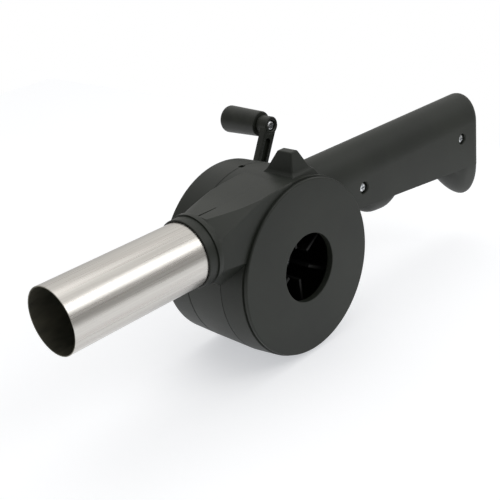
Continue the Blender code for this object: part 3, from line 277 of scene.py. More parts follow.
def recess(
    name: str,
    place: Place,
    radius: float,
    edge: float,
    face: float,
    floor: float,
    steps: int = 48,
) -> Piece:
    """A cutter for a round recess along Y with a chamfered mouth.

    Args:
        name: Name of the cutter.
        place: The x and z of its axis.
        radius: Radius of the recess.
        edge: Width of the chamfer.
        face: The y of the face that it opens in.
        floor: The y of its floor.
        steps: Faces round it.

    Returns:
        The cutter.
    """
    inward = math.copysign(1.0, floor - face)
    profile = (
        (radius + edge, face - inward * CLEAR),
        (radius + edge, face),
        (radius, face + inward * edge),
        (radius, floor),
    )
    return lathe(name, profile, steps, place)


def block(name: str, low: Sequence[float], high: Sequence[float]) -> Piece:
    """A box between two corners, used as a cutting block or as stock.

    Args:
        name: Name of the new piece.
        low: Its lowest corner.
        high: Its highest corner.

    Returns:
        The box.
    """
    middle = (Vector(low) + Vector(high)) / 2
    size = Vector(high) - Vector(low)
    bpy.ops.mesh.primitive_cube_add(size=1.0, location=middle, scale=size)
    piece = bpy.context.active_object
    piece.name = name
    bpy.ops.object.transform_apply(location=True, rotation=True, scale=True)
    return piece


def shape(piece: Piece, how: Shaping, *tools: Piece) -> None:
    """Adds tools to a piece or cuts them out of it, and removes them.

    Args:
        piece: The piece that is shaped.
        how: Whether the tools are added or cut out.
        tools: The pieces that shape it.
    """
    for tool in tools:
        modifier = piece.modifiers.new("shape", "BOOLEAN")
        modifier.operation = how.value
        modifier.solver = "EXACT"
        modifier.object = tool
        select_only(piece)
        bpy.ops.object.modifier_apply(modifier=modifier.name)
        bpy.data.objects.remove(tool, do_unlink=True)


def copy_of(piece: Piece, name: str) -> Piece:
    """A copy of a piece with its own mesh.

    Args:
        piece: The piece to copy.
        name: Name of the copy.

    Returns:
        The copy.
    """
    twin = piece.copy()
    twin.data = piece.data.copy()
    twin.name = name
    bpy.context.scene.collection.objects.link(twin)
    return twin


def arc(radius: float, y: float, edge: float, toward: float, steps: int = 4) -> list[Place]:
    """Points of a rounded outer edge, from the end face at y round to the side at radius.

    Args:
        radius: Radius of the side.
        y: Place of the end face.
        edge: Radius of the rounding.
        toward: 1 where the side runs to higher y, -1 where it runs to lower y.
        steps: Faces across the rounding.

    Returns:
        Radius and y of each point.
    """
    turns = [QUARTER_TURN * step / steps for step in range(steps + 1)]
    return [
        (radius - edge * (1 - math.sin(turn)), y + toward * (edge * (1 - math.cos(turn))))
        for turn in turns
    ]


def ease(share: float) -> float:
    """A share that starts and ends gently, held between 0 and 1."""
    share = min(1.0, max(0.0, share))
    return share * share * (3 - 2 * share)


def between(start: float, end: float, share: float) -> float:
    """The value at a share of the way from start to end."""
    return start + (end - start) * share


# Finishes


def linear(code: str) -> tuple[float, float, float, float]:
    """Turns an sRGB hex colour into linear light.

    Args:
        code: Six hex digits.

    Returns:
        Red, green, blue and full alpha.
    """
    shares = [int(code[start : start + 2], 16) / 255 for start in (0, 2, 4)]
    light = [s / 12.92 if s <= 0.04045 else ((s + 0.055) / 1.055) ** 2.4 for s in shares]
    return (light[0], light[1], light[2], 1.0)


def add_node(
    tree: Tree,
    kind: str,
    values: Optional[dict[object, object]] = None,
    links: Optional[dict[object, Socket]] = None,
    **settings: object,
) -> bpy.types.Node:
    """Adds a node to a tree with its settings, its values and its links.

    Args:
        tree: The node tree.
        kind: The node's type.
        values: What stands on each of its sockets.
        links: What feeds each of its sockets.
        settings: Properties of the node itself.

    Returns:
        The node.
    """
    node = tree.nodes.new(kind)
    for key, value in settings.items():
        setattr(node, key, value)
    for key, value in (values or {}).items():
        node.inputs[key].default_value = value
    for key, source in (links or {}).items():
        tree.links.new(source, node.inputs[key])
    return node


class Recipe:
    """The node tree of one material, with its shader and its object coordinates."""

    def __init__(self, name: str) -> None:
        """Starts a material with a bare shader.

        Args:
            name: Name of the material.
        """
        self.material = bpy.data.materials.new(name)
        self.material.use_nodes = True
        self.tree = self.material.node_tree
        self.shader = self.tree.nodes["Principled BSDF"]
        self.place = self.add("ShaderNodeTexCoord").outputs["Object"]

    def add(self, kind: str, *sockets: object, **settings: object) -> bpy.types.Node:
        """Adds a node to the material, as add_node does."""
        return add_node(self.tree, kind, *sockets, **settings)

    def feed(self, socket: str, source: Socket) -> None:
        """Joins a source to one of the shader's sockets."""
        self.tree.links.new(source, self.shader.inputs[socket])

    def fix(self, **values: object) -> None:
        """Sets plain values on the shader's own sockets, with words joined by underscores."""
        for key, value in values.items():
            self.shader.inputs[key.replace("_", " ")].default_value = value

    def ramp(self, source: Socket, stops: Stops) -> Socket:
        """Turns a value into a colour.

        Args:
            source: The value.
            stops: Place and hex colour of each stop.

        Returns:
            The colour.
        """
        node = self.add("ShaderNodeValToRGB", links={"Fac": source})
        scale = node.color_ramp.elements
        while len(scale) < len(stops):
            scale.new(0.5)
        for element, (place, code) in zip(scale, stops):
            element.position = place
            element.color = linear(code)
        return node.outputs["Color"]

    def span(self, source: Socket, low: float, high: float) -> Socket:
        """Spreads a value from 0 to 1 over a range."""
        node = self.add("ShaderNodeMapRange", {"To Min": low, "To Max": high}, {"Value": source})
        return node.outputs["Result"]

    def noise(
        self,
        size: float,
        detail: float = 2.0,
        roughness: float = 0.5,
        stretch: Sequence[float] = (1, 1, 1),
    ) -> Socket:
        """Noise whose grains have a real size.

        Args:
            size: Size of a grain in millimetres.
            detail: How many finer layers it has.
            roughness: How strong the finer layers are.
            stretch: How far the grains are packed along x, y and z.

        Returns:
            The noise's value.
        """
        scale = tuple(part / (size * MILLIMETRE) for part in stretch)
        packed = self.add("ShaderNodeMapping", {"Scale": scale}, {"Vector": self.place})
        values = {"Scale": 1.0, "Detail": detail, "Roughness": roughness}
        links = {"Vector": packed.outputs["Vector"]}
        return self.add("ShaderNodeTexNoise", values, links).outputs["Fac"]

    def relief(self, source: Socket, depth: float, strength: float = 1.0) -> None:
        """Gives the surface a relief from a value.

        Args:
            source: The value that stands for height.
            depth: Height of the relief in millimetres.
            strength: How much of it shows.
        """
        values = {"Distance": depth * MILLIMETRE, "Strength": strength}
        bump = self.add("ShaderNodeBump", values, {"Height": source})
        self.feed("Normal", bump.outputs["Normal"])


@dataclass(frozen=True)
class Finish:
    """A finish whose colour, roughness and relief follow noises with grains of real size."""

    name: str
    stops: Stops
    cloud: Grain
    gloss: Place
    fine: Optional[Grain] = None
    fine_gloss: bool = False
    relief: Optional[Place] = None
    metallic: float = 0.0
    ior: Optional[float] = None

    def make(self) -> Material:
        """Makes the material: the colour from the cloud, the relief from the fine noise."""
        recipe = Recipe(self.name)
        cloud = recipe.noise(*self.cloud)
        fine = recipe.noise(*self.fine) if self.fine else cloud
        self.colour(recipe, cloud, fine)
        recipe.feed("Roughness", recipe.span(fine if self.fine_gloss else cloud, *self.gloss))
        if self.relief:
            recipe.relief(fine, *self.relief)
        recipe.fix(Metallic=self.metallic)
        if self.ior:
            recipe.fix(IOR=self.ior)
        return recipe.material

    def colour(self, recipe: Recipe, cloud: Socket, fine: Socket) -> None:
        """Colours the material by the cloud alone."""
        recipe.feed("Base Color", recipe.ramp(cloud, self.stops))


@dataclass(frozen=True)
class MouldedAbs(Finish):
    """Injection moulded ABS from a spark eroded tool: dark, dull, with a fine even grain."""

    # The melt's flow leaves a slow drift of colour. The tool's real grain is about 0.1 mm, too
    # fine for the picture, so it is drawn coarser. The eroded skin's sheen is weaker than bare
    # ABS would give, so the IOR is below the plastic's own.
    name: str = "moulded_abs_dark_grey"
    stops: Stops = ((0.30, "1c201b"), (0.70, "262a24"))
    cloud: Grain = (38.0, 3.0)
    gloss: Place = (0.42, 0.56)
    fine: Grain = (0.45, 3.0, 0.6)
    fine_gloss: bool = True
    relief: Place = (0.035, 0.8)
    ior: float = 1.42


@dataclass(frozen=True)
class PolishedAbs(Finish):
    """ABS from a stoned tool: near black, satin, with faint handling marks."""

    # Hands leave smears of gloss, and the stoned tool a slight waviness of the skin.
    name: str = "moulded_abs_satin_black"
    stops: Stops = ((0.35, "1e211c"), (0.65, "282b25"))
    cloud: Grain = (6.0, 4.0, 0.6)
    gloss: Place = (0.38, 0.52)
    fine: Grain = (2.2, 2.0)
    relief: Place = (0.02, 0.6)
    ior: float = 1.42


@dataclass(frozen=True)
class BrushedStainless(Finish):
    """Rolled stainless sheet, belt brushed lengthwise: bright, with long fine streaks."""

    # Brush lines are finer than a pixel, so two coarser sets of streaks along the tube, about
    # 1 mm and 7 mm wide, stand for them.
    name: str = "brushed_stainless_tube"
    stops: Stops = ((0.34, "c4c0bb"), (0.50, "cdcac5"), (0.66, "d6d4cf"))
    cloud: Grain = (7.0, 2.0, 0.5, (0.03, 1.0, 1.0))
    gloss: Place = (0.20, 0.38)
    fine: Grain = (0.9, 3.0, 0.65, (0.012, 1.0, 1.0))
    fine_gloss: bool = True
    relief: Place = (0.01, 0.5)
    metallic: float = 1.0
    cloud_share: float = 0.45

    def colour(self, recipe: Recipe, cloud: Socket, fine: Socket) -> None:
        """Colours the material by both sets of streaks."""
        values, links = {"Factor": self.cloud_share}, {"A": fine, "B": cloud}
        mixed = recipe.add("ShaderNodeMix", values, links, data_type="FLOAT")
        recipe.feed("Base Color", recipe.ramp(mixed.outputs["Result"], self.stops))


@dataclass(frozen=True)
class MillDarkSteel(Finish):
    """The tube's bore: unbrushed strip that kept its dull dark mill skin."""

    # The mill's scale is cloudy and has a weak sheen.
    name: str = "mill_finish_steel_bore"
    stops: Stops = ((0.3, "55554d"), (0.7, "7c7a6c"))
    cloud: Grain = (9.0, 3.0, 0.6, (0.4, 1.0, 1.0))
    gloss: Place = (0.42, 0.6)
    metallic: float = 0.75


@dataclass(frozen=True)
class ZincPlatedSteel(Finish):
    """Cold headed steel with bright zinc plate: silvery, with faint rolling marks."""

    # Small clouds in the plate vary its brightness and its gloss.
    name: str = "zinc_plated_steel"
    stops: Stops = ((0.3, "b9bcbf"), (0.7, "e6e8ea"))
    cloud: Grain = (1.6, 4.0, 0.6)
    gloss: Place = (0.20, 0.34)
    relief: Place = (0.01, 0.4)
    metallic: float = 1.0


@dataclass(frozen=True)
class SinteredBronze(Finish):
    """Pressed and sintered bronze powder: dull brown gold with tiny pores."""

    # The powder's grains are about a third of a millimetre, with open pores between them.
    name: str = "sintered_bronze"
    stops: Stops = ((0.3, "7a5a34"), (0.6, "a87f4c"))
    cloud: Grain = (0.35, 3.0, 0.7)
    gloss: Place = (0.38, 0.55)
    relief: Place = (0.03, 0.7)
    metallic: float = 1.0


@dataclass(frozen=True)
class MouldedAcetal(Finish):
    """Moulded acetal gears: milky white, waxy, with a trace of grease."""

    # The milky colour drifts slowly, and patches of grease shine.
    name: str = "moulded_acetal_gear"
    stops: Stops = ((0.3, "cfcabb"), (0.7, "e6e2d6"))
    cloud: Grain = (5.0, 3.0)
    gloss: Place = (0.30, 0.55)
    fine: Grain = (0.8, 2.0)
    relief: Place = (0.01, 0.5)
    ior: float = 1.48


@dataclass(frozen=True)
class MouldedPolypropylene(Finish):
    """The fan's moulded polypropylene: black, dull, slightly dusty."""

    # A veil of ash dust lies in patches and dulls the sheen, so the IOR is below the plastic's.
    name: str = "moulded_polypropylene_fan"
    stops: Stops = ((0.35, "0a0b0a"), (0.75, "131413"))
    cloud: Grain = (4.0, 4.0, 0.6)
    gloss: Place = (0.38, 0.62)
    fine: Grain = (0.5, 2.0)
    relief: Place = (0.02, 0.5)
    ior: float = 1.34


# Placing finished pieces


@dataclass
class Datum:
    """Where the fan's axis meets the intake face, and how pieces are brought there."""

    cover_end: float = 61.9

    def __post_init__(self) -> None:
        """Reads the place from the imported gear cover, which is round about the fan's axis."""
        low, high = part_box("gear_cover")
        self.origin = Vector(
            ((low.x + high.x) / 2, high.y - self.cover_end * MILLIMETRE, (low.z + high.z) / 2)
        )

    def at(self, x: float, y: float, z: float) -> Vector:
        """The scene's place of a point in millimetres."""
        return self.origin + Vector((x, y, z)) * MILLIMETRE

    def deliver(
        self,
        piece: Piece,
        body: Body,
        nodes: Sequence[str],
        slot: Slot,
        finishes: Sequence[Material],
        angle: float = 32.0,
    ) -> None:
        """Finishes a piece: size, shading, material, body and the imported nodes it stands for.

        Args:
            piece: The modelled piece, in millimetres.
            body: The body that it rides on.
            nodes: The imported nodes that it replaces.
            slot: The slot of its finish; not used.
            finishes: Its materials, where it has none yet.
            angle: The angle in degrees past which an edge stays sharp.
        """
        with editing(piece):
            bpy.ops.mesh.select_all(action="SELECT")
            bpy.ops.mesh.remove_doubles(threshold=WELD)
        piece.data.transform(Matrix.Translation(self.origin) @ Matrix.Scale(MILLIMETRE, 4))
        select_only(piece)
        bpy.ops.object.shade_smooth_by_angle(angle=math.radians(angle))
        # Large flat faces keep their own normals, so that no rounding beside them shades them.
        bpy.ops.object.modifier_add(type="WEIGHTED_NORMAL")
        weighted = piece.modifiers[-1]
        weighted.keep_sharp = True
        bpy.ops.object.modifier_apply(modifier=weighted.name)
        for finish in finishes:
            piece.data.materials.append(finish)
        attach(piece, body.value)
        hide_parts(*nodes)
        LOG.info("%s: %d faces, rides on %s", piece.name, len(piece.data.polygons), body.value)


# The casing


@dataclass
class Drum:
    """The round fan drum: intake face, tapered sides and the wall before the gears."""

    wall: float = 2.2
    disc_radius: float = 47.5
    disc_round: float = 0.85
    groove_radius: float = 47.15
    groove_start: float = 1.9
    groove_end: float = 2.5
    shoulder_radius: float = 48.3
    shoulder_y: float = 3.3
    seam_radius: float = 49.45
    seam_y: float = 16.25
    joint_radius: float = 49.0
    joint_y: float = 42.0
    end_radius: float = 48.5
    end_y: float = 60.5
    end_round: float = 2.0
    partition: float = 2.6
    gap: float = 0.3
    seam_gap: float = 0.04
    groove_edge: float = 0.1
    joint_edge: float = 0.3
    groove_turns: Place = (165.0, 305.0)
    groove_depth: float = 0.55
    groove_least: float = 0.02
    groove_width: float = 0.6
    groove_steps: int = 48
    hole_radius: float = 18.5
    hole_lip: float = 1.4
    hole_lip_depth: float = 1.2
    steps: int = 160

    @property
    def rim(self) -> float:
        """Where the fan casing ends, half a gap before the gear cover's seam."""
        return self.joint_y - self.gap / 2

    @property
    def chamber_end(self) -> float:
        """Where the fan chamber ends."""
        return self.joint_y - self.partition

    def body(self) -> Piece:
        """The outer form from the intake face to the gear cover's seam."""
        edge, corner = self.groove_edge, self.joint_edge
        profile = [
            *arc(self.disc_radius, 0.0, self.disc_round, 1.0),
            (self.disc_radius, self.groove_start - edge),
            (self.groove_radius, self.groove_start),
            (self.groove_radius, self.groove_end),
            (self.shoulder_radius - edge, self.groove_end + edge),
            (self.shoulder_radius, self.shoulder_y),
            (self.seam_radius, self.seam_y),
            (self.joint_radius, self.rim - corner),
            (self.joint_radius - corner, self.rim),
        ]
        return lathe("drum_body", profile, self.steps)

    def seam_groove(self) -> Piece:
        """The wedge where the halves gape on the drum's underside, deepest in its middle."""
        sections = []
        for step in range(self.groove_steps + 1):
            share = step / self.groove_steps
            turn = math.radians(between(*self.groove_turns, share))
            half = max(self.groove_depth * math.sin(math.pi * share) ** 0.5, self.groove_least)
            around = Vector((math.cos(turn), 0.0, math.sin(turn)))
            middle = around * self.seam_radius + Vector((0.0, self.seam_y, 0.0))
            out, across = around * half, Vector((0.0, half * self.groove_width, 0.0))
            sections.append([middle + out, middle + across, middle - out, middle - across])
        return grow("seam_groove", sections)

    def chamber(self) -> Piece:
        """The fan chamber, cut out of the body."""
        profile = (
            (self.shoulder_radius - self.wall, self.wall),
            (self.seam_radius - self.wall, self.seam_y),
            (self.joint_radius - self.wall, self.chamber_end),
        )
        return lathe("fan_chamber", profile, self.steps)


@dataclass
class Duct:
    """The outlet duct, from the round collar that holds the tube to the top of the drum."""

    wall: float = 2.2
    middle_y: float = 16.25
    axis_z: float = 31.2
    mouth_x: float = -63.6
    mouth_radius: float = 18.3
    start_x: float = -61.0
    square_x: float = -28.0
    end_x: float = -6.0
    near_y: float = 1.8
    far_y: float = 35.5
    top_z: float = 46.7
    crown_z: float = 48.8
    rise_x: float = -44.0
    corner: float = 1.0
    mouth_run: float = 2.6
    far_power: float = 1.5
    facet_end_x: float = -25.0
    facet_y: Place = (0.135, 0.0030)
    facet_z: Place = (0.160, 0.0045)
    keel_x: float = -57.0
    keel_slope: float = 0.83
    foot_z: float = 22.2
    foot_slope: float = 0.13
    foot_width: float = 14.5
    stations: int = 36
    station_power: float = 1.2
    corner_points: int = 12
    collar_radius: float = 17.5
    collar_x: float = -69.0
    collar_round: float = 0.4
    collar_turn: float = 0.3
    tube_radius: float = 16.4
    tube_end_x: float = -63.3
    bead: float = 0.5
    bead_length: float = 1.0
    fit: float = 0.3
    slit_x: Place = (-62.0, -45.0)
    slit_width: Place = (1.3, 0.5)
    slit_depth: float = 3.0

    def facet_reach(self, x: float, law: Place) -> float:
        """How far the flat facet of the near top edge reaches at x, by its slope and curve."""
        left = max(0.0, self.facet_end_x - x)
        return left * (law[0] + law[1] * left)

    def section(self, x: float, inset: float) -> Section:
        """The duct's outline at x: two creased corners above, two soft ones below.

        Args:
            x: Place along the nozzle's axis.
            inset: How far the outline is drawn in.

        Returns:
            The outline's points.
        """
        past = max(0.0, x - self.start_x)
        left = 1 - min(1.0, past / (self.square_x - self.start_x))
        flat = ease(past / self.mouth_run)
        mouth = self.mouth_radius
        near = between(self.middle_y - mouth, self.near_y, flat) + inset
        far = between(self.middle_y + mouth, self.far_y, flat) - inset
        rise = ease((x - self.rise_x) / (self.end_x - self.rise_x))
        roof = between(self.top_z, self.crown_z, rise)
        top = between(self.axis_z + mouth, roof, flat) - inset
        keel = self.axis_z - mouth - max(0.0, x - self.keel_x) * self.keel_slope
        foot = between(self.axis_z, self.foot_z - past * self.foot_slope, flat)
        least = self.corner / 2
        far_y = max(between(self.corner, mouth, left**self.far_power) - inset, least)
        far_z = min(far_y, top - foot)
        near_y = max(between(mouth, self.facet_reach(x, self.facet_y), flat) - inset, least)
        near_z = max(between(mouth, self.facet_reach(x, self.facet_z), flat) - inset, least)
        near_z = min(near_z, top - foot)
        low_y = min(between(mouth, self.foot_width, flat) - inset, (far - near) / 2)
        low_z = max(foot - keel - inset, least)
        bottom = keel + inset
        corners = (
            (far - far_y, top - far_z, far_y, far_z, 0.0, 0.0),
            (near + near_y, top - near_z, near_y, near_z, QUARTER_TURN, flat),
            (near + low_y, bottom + low_z, low_y, low_z, 2 * QUARTER_TURN, flat),
            (far - low_y, bottom + low_z, low_y, low_z, 3 * QUARTER_TURN, 0.0),
        )
        points = []
        for y, z, reach_y, reach_z, start, straight in corners:
            for step in range(self.corner_points):
                turn = start + QUARTER_TURN * (step + 0.5) / self.corner_points
                share = step / (self.corner_points - 1)
                end = start + QUARTER_TURN
                chord_y = between(math.cos(start), math.cos(end), share)
                chord_z = between(math.sin(start), math.sin(end), share)
                side = between(math.cos(turn), chord_y, straight)
                height = between(math.sin(turn), chord_z, straight)
                points.append(Vector((x, y + reach_y * side, z + reach_z * height)))
        return points

    def skin(self, name: str, inset: float, start: float) -> Piece:
        """The duct as a solid, drawn in by inset.

        Args:
            name: Name of the solid.
            inset: How far it is drawn in.
            start: Where it starts along the nozzle's axis.

        Returns:
            The solid.
        """
        shares = [(step / self.stations) ** self.station_power for step in range(self.stations + 1)]
        places = [between(start, self.end_x, share) for share in shares]
        return grow(name, [self.section(x, inset) for x in places])

    def around(self, radius: float, x: float, steps: int = RIM_STEPS) -> Section:
        """A circle round the nozzle's axis at x."""
        points = round_points(radius, steps)
        return [Vector((x, self.middle_y + y, self.axis_z + z)) for y, z in points]

    def collar(self) -> Piece:
        """The short sleeve round the tube, with a rounded mouth."""
        edge, turn = self.collar_round, self.collar_round * self.collar_turn
        end = self.mouth_x + self.wall
        sections = [
            self.around(self.collar_radius - edge, self.collar_x),
            self.around(self.collar_radius - turn, self.collar_x + turn),
            self.around(self.collar_radius, self.collar_x + edge),
            self.around(self.collar_radius, end),
        ]
        return grow("collar", sections)

    def hollows(self) -> list[Piece]:
        """The air way, and the tube's seat with its bead groove."""
        seat = self.tube_radius + self.fit
        groove = seat + self.bead
        stop = self.tube_end_x + self.fit
        groove_start = self.tube_end_x - self.bead_length - self.fit
        bore = [
            self.around(seat, self.collar_x - self.wall),
            self.around(seat, groove_start),
            self.around(groove, groove_start),
            self.around(groove, stop),
        ]
        return [self.skin("air_way", self.wall, self.tube_end_x), grow("tube_seat", bore)]

    def slit(self) -> Piece:
        """The open wedge of the seam on the duct's top, widest by the collar."""
        low, high = self.top_z - self.slit_depth, self.top_z + CLEAR
        sections = []
        for x, width in zip(self.slit_x, self.slit_width):
            near, far = self.middle_y - width / 2, self.middle_y + width / 2
            corners = ((near, low), (near, high), (far, high), (far, low))
            sections.append([Vector((x, y, z)) for y, z in corners])
        return grow("seam_slit", sections)


@dataclass
class Handle:
    """The moulded handle: crowned top, flat sides, a finger bump and a hooked end."""

    wall: float = 2.2
    middle_y: float = 16.25
    start_x: float = 8.0
    end_x: float = 173.6
    width: float = 25.3
    top_z: float = 48.9
    top_slope: float = 0.014
    shoulder_z: float = 30.3
    foot_x: float = 54.5
    foot_z: float = 14.2
    foot_slope: float = 0.105
    belly: float = 1.2
    foot_step: float = 1.6
    least_step: float = 0.15
    end_round: float = 7.0
    end_steps: int = 9
    stations: int = 96
    points: int = 24
    bump_x: float = 73.0
    bump_half: float = 12.0
    bump_depth: float = 8.2
    bump_power: int = 4
    hook_x: float = 146.8
    hook_depth: float = 21.4
    hook_power: float = 0.7
    core_x: float = 44.0
    screw_places: tuple[Place, Place] = ((53.8, 25.2), (152.8, 23.5))
    screw_sink: float = 3.0
    sink_radius: float = 3.3
    hole_radius: float = 1.6
    post_radius: float = 5.2
    screw_length: float = 17.0

    @property
    def near_y(self) -> float:
        """The nearer flat side."""
        return self.middle_y - self.width / 2

    def depth_below(self, x: float) -> float:
        """How far the underside hangs below the flat sides at x."""
        reach = (x - self.bump_x) / self.bump_half
        bump = self.bump_depth * max(0.0, 1 - reach**self.bump_power)
        turn = min(1.0, max(0.0, (x - self.hook_x) / (self.end_x - self.hook_x)))
        hook = self.hook_depth * math.sin(turn * QUARTER_TURN) ** self.hook_power
        return self.belly + bump + hook

    def step_in(self, x: float) -> float:
        """How far the underside stands in from the flat sides; hardly at the hook."""
        share = min(1.0, max(0.0, (x - self.hook_x) / self.bump_half))
        return between(self.foot_step, self.least_step, ease(share))

    def section(self, x: float, inset: float) -> Section:
        """The handle's outline at x, drawn in by inset.

        Args:
            x: Place along the handle.
            inset: How far the outline is drawn in.

        Returns:
            The outline's points.
        """
        half = self.width / 2 - inset
        top = self.top_z - self.top_slope * (x - self.foot_x)
        crown = top - self.shoulder_z - inset
        foot = self.foot_z - self.foot_slope * (x - self.foot_x)
        below = max(self.depth_below(x) - inset, self.wall / 2)
        under = half - self.step_in(x)
        points = []
        for step in range(self.points + 1):
            turn = math.pi * step / self.points
            points.append((half * math.cos(turn), self.shoulder_z + crown * math.sin(turn)))
        points.append((-half, foot))
        for step in range(self.points + 1):
            turn = math.pi + math.pi * step / self.points
            points.append((under * math.cos(turn), foot + below * math.sin(turn)))
        points.append((half, foot))
        return [Vector((x, self.middle_y + y, z)) for y, z in points]

    def skin(self, name: str, inset: float, start: float) -> Piece:
        """The handle as a solid with a rounded end, drawn in by inset.

        Args:
            name: Name of the solid.
            inset: How far it is drawn in.
            start: Where it starts.

        Returns:
            The solid.
        """
        flat = self.end_x - inset - self.end_round
        places = [between(start, flat, step / self.stations) for step in range(self.stations + 1)]
        sections = [self.section(x, inset) for x in places]
        for step in range(self.end_steps):
            turn = QUARTER_TURN * (step + 1) / self.end_steps
            x = flat + self.end_round * math.sin(turn)
            sections.append(self.section(x, inset + self.end_round * (1 - math.cos(turn))))
        return grow(name, sections)


@dataclass
class Lug:
    """The tapered block on top of the drum, across the seam."""

    foot_z: float = 44.0
    top_z: float = 61.1
    foot: tuple[float, float, float, float] = (-1.2, 17.8, 5.8, 29.0)
    top: tuple[float, float, float, float] = (1.6, 6.8, 7.6, 17.0)
    flare: tuple[Place, ...] = (
        (44.0, 1.5),
        (49.0, 1.1),
        (49.6, 0.6),
        (50.3, 0.25),
        (51.2, 0.0),
        (61.1, 0.0),
    )
    edge: float = 0.9
    edge_steps: int = 4
    edge_angle: float = 30.0

    def solid(self) -> Piece:
        """The block with rounded edges and a small flare at its foot."""
        rings = []
        for z, out in self.flare:
            share = (z - self.foot_z) / (self.top_z - self.foot_z)
            left, right, near, far = (between(a, b, share) for a, b in zip(self.foot, self.top))
            corners = (
                (left - out, near - out),
                (right + out, near - out),
                (right + out, far + out),
                (left - out, far + out),
            )
            rings.append([Vector((x, y, z)) for x, y in corners])
        piece = grow("lug", rings)
        soften(piece, self.edge, self.edge_steps, is_sharp(self.edge_angle))
        return piece


@dataclass
class GearStage:
    """Where the crank and the idler stand, and the bosses that hold them in the casing."""

    crank: Place = (21.0, 0.0)
    idler: Place = (3.1286, -22.5843)
    screw_circle: float = 41.5
    screw_turns: tuple[float, ...] = (45.0, 135.0, 225.0, 315.0)
    post_radius: float = 3.8
    post_end: float = 55.5
    pilot_radius: float = 1.4
    # Radius, rise over the partition and bore of each socket.
    crank_socket: tuple[float, float, float] = (6.0, 4.0, 3.3)
    idler_socket: tuple[float, float, float] = (4.5, 1.1, 2.3)
    socket_floor: float = 1.5
    bearing_radius: float = 7.0
    bearing_start: float = 30.5
    bearing_bore: float = 4.3
    boss_radius: float = 9.0
    boss_rise: float = 1.4
    boss_root: float = 1.0
    boss_edge: float = 0.8
    bush_bore: float = 5.3
    pin_boss_radius: float = 4.5
    pin_boss_rise: float = 1.1
    pin_bore: float = 2.3
    pin_cap: float = 0.75
    sink_radius: float = 2.8
    sink_depth: float = 1.8
    sink_edge: float = 0.4

    def screws(self) -> list[Place]:
        """The x and z of each cover screw."""
        turns = [math.radians(turn) for turn in self.screw_turns]
        return [(self.screw_circle * math.cos(t), self.screw_circle * math.sin(t)) for t in turns]


